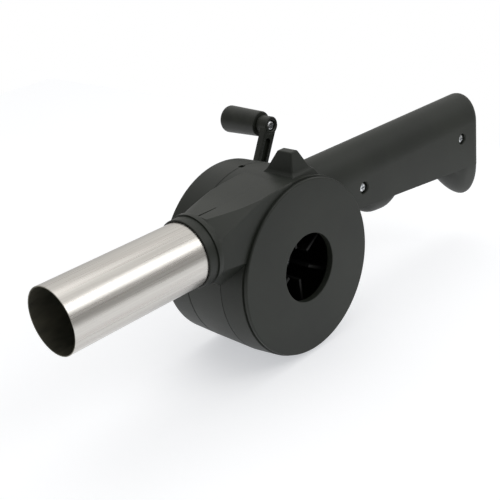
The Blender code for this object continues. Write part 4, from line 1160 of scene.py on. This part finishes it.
@dataclass
class Casing:
    """The three mouldings that meet at two seams square to the fan's axis."""

    datum: Datum
    finish: Material
    drum: Drum = field(default_factory=Drum)
    duct: Duct = field(default_factory=Duct)
    handle: Handle = field(default_factory=Handle)
    lug: Lug = field(default_factory=Lug)
    gears: GearStage = field(default_factory=GearStage)
    bite: float = 1.1
    post_bite: float = 2.0
    edge: float = 0.5
    edge_turn: float = 0.3
    roof_steps: int = 8
    notch_size: float = 3.0

    def shared_form(self) -> Piece:
        """The outer form of both fan casing halves in one, hollowed out."""
        form = self.drum.body()
        grooves = [self.duct.slit(), self.drum.seam_groove()]
        handle = self.handle.skin("handle_form", 0.0, self.handle.start_x)
        duct = self.duct.skin("duct_form", 0.0, self.duct.mouth_x)
        shape(form, Shaping.ADD, handle, duct, self.duct.collar(), self.lug.solid())
        core = self.handle.skin("handle_core", self.handle.wall, self.handle.core_x)
        shape(core, Shaping.TAKE, self.axial("drum_guard", self.drum.seam_radius, -FAR, FAR))
        shape(form, Shaping.TAKE, self.drum.chamber(), *self.duct.hollows(), core, *grooves)
        return form

    def axial(self, name: str, radius: float, start: float, end: float) -> Piece:
        """A wide round bar on the fan's own axis."""
        return rod(name, FAN_AXIS, radius, start, end, RIM_STEPS)

    def posts(self, start: float, end: float) -> list[Piece]:
        """The posts that take the handle screws."""
        radius = self.handle.post_radius
        return [rod("handle_post", place, radius, start, end) for place in self.handle.screw_places]

    def deliver(self, piece: Piece, node: str) -> None:
        """Finishes one of the mouldings."""
        self.datum.deliver(piece, Body.CASING, [node], Slot.CASING, [self.finish])

    def intake_half(self, form: Piece) -> None:
        """Makes the near half from the shared form, with the intake face and its hole."""
        drum, handle = self.drum, self.handle
        face = drum.seam_y - drum.seam_gap / 2
        half = copy_of(form, "intake_half")
        lip_radius = drum.hole_radius + drum.hole_lip
        lip = self.axial("lip", lip_radius, self.bite, drum.wall + drum.hole_lip_depth)
        posts = self.posts(handle.near_y + self.bite, drum.seam_y + self.post_bite)
        shape(half, Shaping.ADD, lip, *posts)
        behind = block("behind_seam", (-FAR, face, -FAR), (FAR, FAR, FAR))
        turn = self.edge * self.edge_turn
        hole = (
            (drum.hole_radius + self.edge, -CLEAR),
            (drum.hole_radius + self.edge, 0.0),
            (drum.hole_radius + turn, turn),
            (drum.hole_radius, self.edge),
            (drum.hole_radius, face / 2),
        )
        shape(half, Shaping.TAKE, behind, lathe("intake_hole", hole, RIM_STEPS))
        near, floor = handle.near_y, handle.near_y + handle.screw_sink
        for place in handle.screw_places:
            sink = recess("head_sink", place, handle.sink_radius, self.edge, near, floor)
            drill = rod("near_hole", place, handle.hole_radius, floor / 2, drum.seam_y)
            shape(half, Shaping.TAKE, sink, drill)
        self.deliver(half, "intake_shell")

    def middle_half(self, form: Piece) -> None:
        """Makes the far half from the shared form, which also carries the gear train."""
        drum, handle, gears = self.drum, self.handle, self.gears
        face = drum.seam_y + drum.seam_gap / 2
        half = copy_of(form, "middle_half")
        foot = drum.rim - self.bite
        far_wall = drum.seam_y + handle.width / 2 - self.bite
        shape(half, Shaping.ADD, *self.posts(drum.seam_y - self.post_bite, far_wall))
        bosses = [rod("bearing", FAN_AXIS, gears.bearing_radius, gears.bearing_start, foot)]
        sockets = ((gears.crank, gears.crank_socket), (gears.idler, gears.idler_socket))
        for place, (radius, rise, _) in sockets:
            bosses.append(rod("socket", place, radius, foot, drum.rim + rise))
        for place in gears.screws():
            post = rod("cover_post", place, gears.post_radius, foot, gears.post_end, SMALL_STEPS)
            bosses.append(post)
        shape(half, Shaping.ADD, *bosses)
        drills = [block("before_seam", (-FAR, -FAR, -FAR), (FAR, face, FAR)), self.notch()]
        drills.append(rod("bearing_bore", FAN_AXIS, gears.bearing_bore, face, FAR))
        floor = drum.chamber_end + gears.socket_floor
        for place, (_, _, bore) in sockets:
            drills.append(rod("socket_bore", place, bore, floor, FAR))
        for place in gears.screws():
            drill = rod("cover_pilot", place, gears.pilot_radius, drum.rim, FAR, DRILL_STEPS)
            drills.append(drill)
        end = handle.near_y + handle.screw_sink + handle.screw_length + drum.gap
        for place in handle.screw_places:
            drills.append(rod("far_hole", place, handle.hole_radius, 0.0, end, DRILL_STEPS))
        shape(half, Shaping.TAKE, *drills)
        self.deliver(half, "middle_shell")

    def notch(self) -> Piece:
        """The small prying notch in the gear cover's seam, at the top of the drum."""
        half, reach = self.notch_size / 2, self.drum.joint_radius
        low = (-half, self.drum.joint_y - half, reach - self.notch_size)
        return block("notch", low, (half, self.drum.joint_y + half, reach + CLEAR))

    def gear_cover(self) -> None:
        """Makes the far end of the drum, over the gears, with the crank's boss."""
        drum, gears = self.drum, self.gears
        rim = drum.joint_y + drum.gap / 2
        roof = drum.end_y - drum.wall
        edge = drum.joint_edge
        profile = [
            *arc(drum.end_radius, drum.end_y, drum.end_round, -1.0, self.roof_steps),
            (drum.joint_radius, rim + edge),
            (drum.joint_radius - edge, rim),
            (drum.joint_radius - drum.wall, rim),
            (drum.end_radius - drum.wall, roof),
        ]
        cover = lathe("gear_cover_moulding", profile, drum.steps)
        boss_end = drum.end_y + gears.boss_rise
        boss = [
            (gears.boss_radius, roof - gears.boss_root),
            (gears.boss_radius, boss_end - gears.boss_edge),
            (gears.boss_radius - gears.boss_edge, boss_end),
        ]
        pin_start = roof - gears.pin_boss_rise
        head_end = drum.end_y - self.bite
        added = [
            lathe("crank_boss", boss, BOSS_STEPS, gears.crank),
            rod("pin_boss", gears.idler, gears.pin_boss_radius, pin_start, head_end),
        ]
        start = gears.post_end + drum.gap
        for place in gears.screws():
            added.append(rod("sleeve", place, gears.post_radius, start, head_end, SMALL_STEPS))
        shape(cover, Shaping.ADD, *added)
        pin_end = drum.end_y - gears.pin_cap
        cut = [
            rod("bush_bore", gears.crank, gears.bush_bore, roof / 2, FAR),
            rod("pin_bore", gears.idler, gears.pin_bore, pin_start / 2, pin_end),
        ]
        sink = (gears.sink_radius, gears.sink_edge, drum.end_y, drum.end_y - gears.sink_depth)
        for place in gears.screws():
            cut.append(recess("screw_sink", place, *sink, SMALL_STEPS))
            cut.append(rod("screw_hole", place, gears.pilot_radius, 0.0, FAR, DRILL_STEPS))
        shape(cover, Shaping.TAKE, *cut, self.notch())
        self.deliver(cover, "gear_cover")

    def build(self) -> None:
        """Builds the three mouldings."""
        form = self.shared_form()
        self.intake_half(form)
        self.middle_half(form)
        bpy.data.objects.remove(form, do_unlink=True)
        self.gear_cover()


@dataclass
class NozzleTube:
    """The bright steel tube with a rolled bead at its inner end."""

    datum: Datum
    outside: Material
    bore: Material
    duct: Duct = field(default_factory=Duct)
    wall: float = 0.6
    mouth_x: float = -146.1
    edge: float = 0.12
    steps: int = 160
    smooth_angle: float = 25.0

    def build(self) -> None:
        """Builds the tube and gives its bore the darker skin."""
        duct, radius = self.duct, self.duct.tube_radius
        end = duct.tube_end_x
        bead_start = end - duct.bead_length
        bead = radius + duct.bead
        profile = (
            (radius - self.wall, end),
            (bead - self.edge, end),
            (bead, end - self.edge),
            (bead, bead_start),
            (radius, bead_start - duct.bead / 2),
            (radius, between(bead_start, self.mouth_x, 0.5)),
            (radius, self.mouth_x + self.edge),
            (radius - self.edge, self.mouth_x),
            (radius - self.wall + self.edge, self.mouth_x),
            (radius - self.wall, self.mouth_x + self.edge),
        )
        sections = [duct.around(reach, x, self.steps) for reach, x in profile]
        tube = grow("steel_tube", sections, ring=True)
        tube.data.materials.append(self.outside)
        tube.data.materials.append(self.bore)
        inner = radius - self.wall / 2
        for face in tube.data.polygons:
            middle = face.center
            reach = math.hypot(middle.y - duct.middle_y, middle.z - duct.axis_z)
            face.material_index = 1 if reach < inner else 0
        self.datum.deliver(tube, Body.CASING, ["nozzle_tube"], Slot.TUBE, [], self.smooth_angle)


# The crank


@dataclass
class CrankArm:
    """The arm between the crank shaft and the grip, cored on its near side."""

    datum: Datum
    finish: Material
    gears: GearStage = field(default_factory=GearStage)
    start: float = 64.5
    thickness: float = 4.2
    length: float = 61.0
    lean: float = 27.3
    half_width: float = 4.6
    end_radius: float = 5.2
    end_steps: int = 16
    hub_radius: float = 8.0
    hub_start: float = 62.5
    hub_end: float = 72.2
    hub_roof: float = 2.0
    hub_turn: float = 0.6
    shaft_radius: float = 3.3
    boss_end: float = 72.1
    boss_step: float = 0.2
    recess: float = 1.8
    rail: float = 2.6
    recess_shy: float = 4.2
    edge: float = 0.55
    edge_steps: int = 3
    edge_angle: float = 50.0
    spigot_radius: float = 3.3
    spigot_start: float = 69.1
    head_radius: float = 3.1
    head_sink: float = 2.0
    crank_hole: float = 1.6
    grip_hole: float = 1.8

    @property
    def grip_place(self) -> Place:
        """The x and z of the grip's axis."""
        x, z = self.point(self.length, 0.0)
        return (self.gears.crank[0] + x, self.gears.crank[1] + z)

    def point(self, along: float, aside: float) -> Place:
        """A point of the arm's face, along its length and aside towards -X."""
        turn = math.radians(self.lean)
        return (
            along * math.sin(turn) - aside * math.cos(turn),
            along * math.cos(turn) + aside * math.sin(turn),
        )

    def bar(self, half: float, start: float, end: float, round_start: bool) -> list[Place]:
        """The outline of a bar along the arm with a round far end.

        Args:
            half: Half its width.
            start: Where it starts along the arm.
            end: Where the middle of its round end is.
            round_start: True to round the near end too.

        Returns:
            The outline.
        """
        turns = [math.pi * step / self.end_steps for step in range(self.end_steps + 1)]
        if round_start:
            near = [(start - half * math.sin(t), -half * math.cos(t)) for t in turns]
        else:
            near = [(start, -half), (start, half)]
        far = [(end + half * math.sin(t), half * math.cos(t)) for t in turns]
        return [self.point(*place) for place in near + far]

    def build(self) -> None:
        """Builds the arm with its hub, boss, channel and holes."""
        crank, grip, edge = self.gears.crank, self.grip_place, self.edge
        outline = self.bar(self.half_width, 0.0, self.length, False)
        arm = prism("arm", outline, self.start, self.start + self.thickness, crank)
        hub = [
            (self.hub_radius - edge, self.hub_start),
            (self.hub_radius, self.hub_start + edge),
            (self.hub_radius, self.hub_end - edge * 2),
            (self.hub_radius - edge * self.hub_turn, self.hub_end - edge * self.hub_turn),
            (self.hub_radius - edge * 2, self.hub_end),
        ]
        face = self.start - self.boss_step
        boss = [
            (self.end_radius - edge, face),
            (self.end_radius, face + edge),
            (self.end_radius, self.boss_end - edge),
            (self.end_radius - edge, self.boss_end),
        ]
        soften(arm, edge, self.edge_steps, is_sharp(self.edge_angle))
        added = (lathe("hub", hub, BOSS_STEPS, crank), lathe("boss", boss, BOSS_STEPS, grip))
        shape(arm, Shaping.ADD, *added)
        half = self.half_width - self.rail
        channel_start = self.hub_radius + self.rail
        channel_end = self.length - self.end_radius - self.recess_shy
        outline = self.bar(half, channel_start + half, channel_end, True)
        roof = self.hub_end - self.hub_roof
        floor = self.start + self.head_sink
        shape(
            arm,
            Shaping.TAKE,
            prism("channel", outline, self.start - CLEAR, self.start + self.recess, crank),
            rod("shaft_bore", crank, self.shaft_radius, self.hub_start / 2, roof),
            rod("screw_hole", crank, self.crank_hole, roof / 2, FAR),
            recess("head_sink", grip, self.head_radius, edge, face, floor),
            rod("grip_screw_hole", grip, self.grip_hole, floor / 2, FAR),
            rod("spigot_bore", grip, self.spigot_radius, self.spigot_start, FAR),
        )
        arm.name = "arm_moulding"
        self.datum.deliver(arm, Body.CRANK, ["crank_arm"], Slot.CRANK, [self.finish])


@dataclass
class CrankGrip:
    """The grip that turns on the arm's boss."""

    datum: Datum
    finish: Material
    place: Place
    start: float = 72.4
    end: float = 99.4
    near_radius: float = 7.3
    far_radius: float = 8.0
    far_round: float = 2.3
    far_steps: int = 8
    near_round: float = 0.7
    spigot_radius: float = 3.0
    spigot_length: float = 3.0
    pilot_radius: float = 1.8
    pilot_end: float = 82.0

    def build(self) -> None:
        """Builds the grip with its spigot and screw hole."""
        profile = [
            (self.spigot_radius, self.start - self.spigot_length),
            (self.spigot_radius, self.start),
            *arc(self.near_radius, self.start, self.near_round, 1.0),
            *reversed(arc(self.far_radius, self.end, self.far_round, -1.0, self.far_steps)),
        ]
        grip = lathe("grip_moulding", profile, RIM_STEPS, self.place)
        drill = (self.pilot_radius, self.start / 2, self.pilot_end, SMALL_STEPS)
        shape(grip, Shaping.TAKE, rod("pilot", self.place, *drill))
        self.datum.deliver(grip, Body.GRIP, ["crank_grip"], Slot.CRANK, [self.finish])


# Fasteners


@dataclass
class PanScrew:
    """A self-tapping pan head screw with a cross recess and a rolled thread."""

    datum: Datum
    finish: Material
    name: str
    node: str
    body: Body
    place: Place
    under: float
    outward: int
    head_radius: float
    head: float
    radius: float
    length: float
    steps: int = 48
    pitch: float = 1.1
    # Shares of the head's radius and height.
    flat: float = 0.55
    drop: float = 0.62
    dome_steps: int = 5
    wing: float = 0.55
    wing_half: float = 0.13
    wing_depth: float = 0.55
    # Shares of the thread's radius, of its pitch and of its core.
    core: float = 0.8
    flank: float = 0.2
    point: float = 0.3

    @property
    def crown(self) -> float:
        """The y of the top of the head."""
        return self.under + self.outward * self.head

    def profile(self) -> list[Place]:
        """Radius and y from the crown of the head to the tip."""
        flat = self.head_radius * self.flat
        points = [(flat, self.crown)]
        for step in range(1, self.dome_steps + 1):
            turn = QUARTER_TURN * step / self.dome_steps
            drop = self.head * self.drop * (1 - math.cos(turn))
            reach = between(flat, self.head_radius, math.sin(turn))
            points.append((reach, self.crown - self.outward * drop))
        core = self.radius * self.core
        points += [(self.head_radius, self.under), (core, self.under)]
        flank = self.outward * self.pitch * self.flank
        depth = self.pitch
        while depth + self.pitch < self.length - self.radius:
            y = self.under - self.outward * depth
            points += [(core, y + flank), (self.radius, y), (core, y - flank)]
            depth += self.pitch
        tip = self.under - self.outward * self.length
        points.append((core, tip + self.outward * self.radius))
        points.append((core * self.point, tip))
        return points

    def build(self) -> None:
        """Builds the screw and cuts its cross recess."""
        screw = lathe(self.name, self.profile(), self.steps, self.place)
        wing, thin = self.head_radius * self.wing, self.head_radius * self.wing_half
        floor = self.crown - self.outward * self.head * self.wing_depth
        lid = self.crown + self.outward * CLEAR
        for reach_x, reach_z in ((wing, thin), (thin, wing)):
            low = (self.place[0] - reach_x, min(floor, lid), self.place[1] - reach_z)
            high = (self.place[0] + reach_x, max(floor, lid), self.place[1] + reach_z)
            shape(screw, Shaping.TAKE, block("recess", low, high))
        self.datum.deliver(screw, self.body, [self.node], Slot.STEEL, [self.finish])


@dataclass
class Fasteners:
    """All the screws that can be seen, and the washer under the crank screw."""

    datum: Datum
    finish: Material
    arm: CrankArm
    drum: Drum = field(default_factory=Drum)
    handle: Handle = field(default_factory=Handle)
    gears: GearStage = field(default_factory=GearStage)
    # Head radius, head height, thread radius and length of each kind of screw.
    handle_screw: ScrewSizes = (2.9, 1.7, 1.3, 17.0)
    cover_screw: ScrewSizes = (2.4, 1.4, 1.1, 12.0)
    grip_screw: ScrewSizes = (2.7, 1.6, 1.5, 14.0)
    crank_screw: ScrewSizes = (3.0, 1.8, 1.3, 11.0)
    seat: float = 0.1
    washer_radius: float = 4.0
    washer: float = 0.6
    washer_hole: float = 1.6
    washer_edge: float = 0.12

    def build(self) -> None:
        """Builds each screw and the washer."""
        arm, handle, gears, seat = self.arm, self.handle, self.gears, self.seat
        under = handle.near_y + handle.screw_sink - seat
        cover_under = self.drum.end_y - gears.sink_depth + seat
        grip_under = arm.start + arm.head_sink - seat
        washer_end = arm.hub_end + seat + self.washer
        rows = []
        for end, place in zip(("drum_end", "hook_end"), handle.screw_places):
            names = (f"handle_pan_screw_{end}", f"handle_screw_{end}")
            rows.append((*names, Body.CASING, place, under, -1, *self.handle_screw))
        for index, place in enumerate(gears.screws(), 1):
            names = (f"cover_pan_screw_{index}", f"cover_screw_{index}")
            rows.append((*names, Body.CASING, place, cover_under, 1, *self.cover_screw))
        grip = (arm.grip_place, grip_under, -1, *self.grip_screw)
        rows.append(("grip_pan_screw", "grip_screw", Body.GRIP, *grip))
        crank = (gears.crank, washer_end + seat, 1, *self.crank_screw)
        rows.append(("crank_pan_screw", "crank_screw", Body.CRANK, *crank))
        for row in rows:
            PanScrew(self.datum, self.finish, *row).build()
        self.washer_ring(arm.hub_end + seat, washer_end)

    def washer_ring(self, start: float, end: float) -> None:
        """Builds the washer with its stamped, slightly rounded edges."""
        edge = self.washer_edge
        profile = (
            (self.washer_hole, start),
            (self.washer_radius - edge, start),
            (self.washer_radius, start + edge),
            (self.washer_radius, end - edge),
            (self.washer_radius - edge, end),
            (self.washer_hole, end),
        )
        ring = lathe("stamped_washer", profile, BOSS_STEPS, self.gears.crank, ring=True)
        self.datum.deliver(ring, Body.CRANK, ["crank_washer"], Slot.STEEL, [self.finish])


# The fan and the gear train


@dataclass
class FanWheel:
    """The radial fan: six flat blades on a back plate, with a hub round the bearing boss."""

    datum: Datum
    finish: Material
    radius: float = 38.0
    plate_start: float = 36.9
    plate_end: float = 38.4
    hub_radius: float = 10.0
    hub_start: float = 20.0
    hub_floor: float = 27.5
    nose_radius: float = 7.5
    socket_radius: float = 8.0
    blades: int = 6
    blade: float = 1.8
    blade_start: float = 8.0
    blade_turn: float = -28.0
    blade_round: float = 0.5
    blade_steps: int = 3
    blade_shy: float = 0.3
    blade_bite: float = 0.7
    bore_radius: float = 2.3
    bore_flat: float = 1.8
    bore_steps: int = 32

    def vane(self, turn: float) -> Piece:
        """One blade with rounded free edges, turned about the fan's axis.

        Args:
            turn: Its angle in degrees.

        Returns:
            The blade.
        """
        root = (self.socket_radius + self.hub_radius) / 2
        half = self.blade / 2
        high = (self.radius - self.blade_shy, self.plate_start + self.blade_bite, half)
        vane = block("vane", (root, self.blade_start, -half), high)

        def is_free(edge: Edge) -> bool:
            """Whether the edge runs along the blade's front."""
            return all(abs(vert.co.y - self.blade_start) < WELD for vert in edge.verts)

        soften(vane, self.blade_round, self.blade_steps, is_free)
        vane.data.transform(Matrix.Rotation(-math.radians(turn), 4, "Y"))
        return vane

    def build(self) -> None:
        """Builds the wheel."""
        profile = (
            (self.socket_radius, self.hub_floor),
            (self.socket_radius, self.plate_end),
            (self.radius, self.plate_end),
            (self.radius, self.plate_start),
            (self.hub_radius, self.plate_start),
            (self.hub_radius, self.hub_floor),
            (self.nose_radius, self.hub_start),
        )
        wheel = lathe("fan_wheel", profile, RIM_STEPS)
        for index in range(self.blades):
            shape(wheel, Shaping.ADD, self.vane(self.blade_turn + 360.0 * index / self.blades))
        start = math.acos(self.bore_flat / self.bore_radius)
        sweep = FULL_TURN - 2 * start
        turns = [start + sweep * step / self.bore_steps for step in range(self.bore_steps + 1)]
        outline = [(self.bore_radius * math.cos(t), self.bore_radius * math.sin(t)) for t in turns]
        shape(wheel, Shaping.TAKE, prism("bore", outline, 0.0, FAR))
        self.datum.deliver(wheel, Body.FAN, ["impeller"], Slot.FAN, [self.finish])


@dataclass
class InnerWorks:
    """The sealed pieces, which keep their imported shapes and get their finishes."""

    nodes: dict[str, Piece]
    bronze: Material
    acetal: Material
    steel: Material

    def dress(self) -> None:
        """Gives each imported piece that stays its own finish."""
        worn = {
            "fan_bush_front": self.bronze,
            "fan_bush_rear": self.bronze,
            "crank_bush": self.bronze,
            "crank_gear": self.acetal,
            "idler_gear": self.acetal,
            "fan_pinion": self.steel,
            "fan_shaft": self.steel,
            "crank_shaft": self.steel,
            "idler_pin": self.steel,
            "idler_washer": self.steel,
            "impeller_nut": self.steel,
        }
        for name, material in worn.items():
            slots = self.nodes[name].data.materials
            slots.clear()
            slots.append(material)
            LOG.info("%s: %s", name, material.name)


# Camera, lights and floor


def seen_by(tree: Tree, *rays: str) -> Socket:
    """A value of 1 for some kinds of ray and 0 for the others.

    Args:
        tree: The node tree that asks.
        rays: The kinds of ray.

    Returns:
        The value.
    """
    path = add_node(tree, "ShaderNodeLightPath")
    total = path.outputs[rays[0]]
    for ray in rays[1:]:
        links = {0: total, 1: path.outputs[ray]}
        total = add_node(tree, "ShaderNodeMath", links=links, operation="MAXIMUM").outputs[0]
    return total


@dataclass(frozen=True)
class Lamp:
    """A soft light: its place, width and height in metres, and its power in watts."""

    name: str
    place: Triple
    size: Place
    power: float

    def hang(self, aim: Triple) -> None:
        """Makes the light and points it at a place."""
        data = bpy.data.lights.new(self.name, "AREA")
        data.shape = "RECTANGLE"
        data.energy = self.power
        data.size, data.size_y = self.size
        item = bpy.data.objects.new(self.name, data)
        bpy.context.scene.collection.objects.link(item)
        item.location = Vector(self.place)
        item.rotation_mode = "QUATERNION"
        item.rotation_quaternion = (Vector(aim) - Vector(self.place)).to_track_quat("-Z", "Y")


@dataclass
class Studio:
    """A plain pale floor, soft lights and the camera at the photograph's angle."""

    datum: Datum
    camera_place: Triple = (-332.58, -301.01, 211.81)
    forward: Triple = (0.63556, 0.65758, -0.40454)
    right: Triple = (0.68254, -0.72346, -0.10367)
    lens: float = 68.634
    sensor: float = 36.0
    nearest: float = 0.01
    floor_size: float = 1.0
    floor_middle: Place = (-0.18, 0.16)
    floor_drop: float = 0.0004
    floor_colour: str = "d4d4d4"
    floor_roughness: float = 0.9
    glow: float = 0.52
    glow_colour: str = "f9fbff"
    aim: Triple = (0.0, 0.0, 0.05)
    window: Triple = (0.62, 0.30, 0.72)
    # How far a wall faces the window, and how bright it is there.
    walls: tuple[Place, ...] = ((0.3, 0.37), (0.6, 0.39), (0.75, 0.52), (0.95, 0.84))
    wall_tint: Triple = (1.0, 0.99, 0.97)
    lamps: tuple[Lamp, ...] = (
        Lamp("key_strip", (0.51, -0.87, 0.86), (0.60, 0.50), 2.2),
        Lamp("top_box", (0.05, 0.10, 1.35), (1.0, 1.0), 2.5),
        Lamp("front_fill", (-0.10, -0.80, 0.80), (0.5, 0.5), 1.0),
    )

    def camera(self) -> None:
        """Makes the camera."""
        data = bpy.data.cameras.new("photo_camera")
        data.lens = self.lens
        data.sensor_width = self.sensor
        data.clip_start = self.nearest
        item = bpy.data.objects.new("photo_camera", data)
        bpy.context.scene.collection.objects.link(item)
        ahead = Vector(self.forward).normalized()
        right = Vector(self.right).normalized()
        up = right.cross(ahead)
        turn = Matrix((right, up, -ahead)).transposed().to_4x4()
        item.matrix_world = Matrix.Translation(self.datum.at(*self.camera_place)) @ turn
        bpy.context.scene.camera = item

    def world(self) -> None:
        """Makes the walls: bright by the window, grey away from it, white to the camera."""
        world = bpy.data.worlds.new("studio")
        world.use_nodes = True
        tree = world.node_tree
        place = {0: add_node(tree, "ShaderNodeTexCoord").outputs["Generated"]}
        facing = add_node(
            tree, "ShaderNodeVectorMath", {1: self.window}, place, operation="DOT_PRODUCT"
        )
        halved, value = {1: 0.5, 2: 0.5}, {0: facing.outputs["Value"]}
        share = add_node(tree, "ShaderNodeMath", halved, value, operation="MULTIPLY_ADD")
        ramp = add_node(tree, "ShaderNodeValToRGB", links={0: share.outputs[0]})
        elements = ramp.color_ramp.elements
        elements.remove(elements[1])
        elements[0].position = self.walls[0][0]
        for index, (facing_share, level) in enumerate(self.walls):
            element = elements.new(facing_share) if index else elements[0]
            element.color = (*(level * part for part in self.wall_tint), 1.0)
        back = tree.nodes["Background"]
        tree.links.new(ramp.outputs["Color"], back.inputs["Color"])
        white = add_node(
            tree, "ShaderNodeBackground", {"Color": linear("ffffff"), "Strength": 1.0}
        )
        links = {0: seen_by(tree, "Is Camera Ray"), 1: back.outputs[0], 2: white.outputs[0]}
        mix = add_node(tree, "ShaderNodeMixShader", links=links)
        tree.links.new(mix.outputs[0], tree.nodes["World Output"].inputs["Surface"])
        bpy.context.scene.world = world

    def floor(self) -> None:
        """Lays the floor under the object: it glows a little to the rays that show it."""
        bpy.ops.object.select_all(action="DESELECT")
        place = (*self.floor_middle, -self.floor_drop)
        bpy.ops.mesh.primitive_plane_add(size=self.floor_size, location=place)
        plane = bpy.context.active_object
        plane.name = "studio_floor"
        recipe = Recipe("matt_white_floor")
        recipe.fix(Base_Color=linear(self.floor_colour), Roughness=self.floor_roughness)
        values = {"Color": linear(self.glow_colour), "Strength": self.glow}
        glow = recipe.add("ShaderNodeEmission", values)
        matt = recipe.shader.outputs[0]
        both = recipe.add("ShaderNodeAddShader", links={0: matt, 1: glow.outputs[0]})
        shown = seen_by(recipe.tree, "Is Camera Ray", "Is Glossy Ray", "Is Transmission Ray")
        links = {0: shown, 1: matt, 2: both.outputs[0]}
        mix = recipe.add("ShaderNodeMixShader", links=links)
        end = recipe.tree.nodes["Material Output"]
        recipe.tree.links.new(mix.outputs[0], end.inputs["Surface"])
        plane.data.materials.append(recipe.material)

    def build(self) -> None:
        """Sets up the whole studio."""
        bpy.context.scene.view_settings.view_transform = "Standard"
        self.camera()
        self.world()
        self.floor()
        for lamp in self.lamps:
            lamp.hang(self.aim)


def main() -> None:
    """Builds the blower's pieces, then the studio."""
    logging.basicConfig(level=logging.INFO, format="%(name)s %(message)s")
    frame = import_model()
    bpy.ops.object.select_all(action="DESELECT")
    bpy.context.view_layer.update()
    datum = Datum()
    casing = MouldedAbs().make()
    gloss = PolishedAbs().make()
    steel = ZincPlatedSteel().make()
    Casing(datum, casing).build()
    NozzleTube(datum, BrushedStainless().make(), MillDarkSteel().make()).build()
    arm = CrankArm(datum, gloss)
    arm.build()
    CrankGrip(datum, gloss, arm.grip_place).build()
    Fasteners(datum, steel, arm).build()
    FanWheel(datum, MouldedPolypropylene().make()).build()
    InnerWorks(frame["nodes"], SinteredBronze().make(), MouldedAcetal().make(), steel).dress()
    Studio(datum).build()


if __name__ == "__main__":
    main()
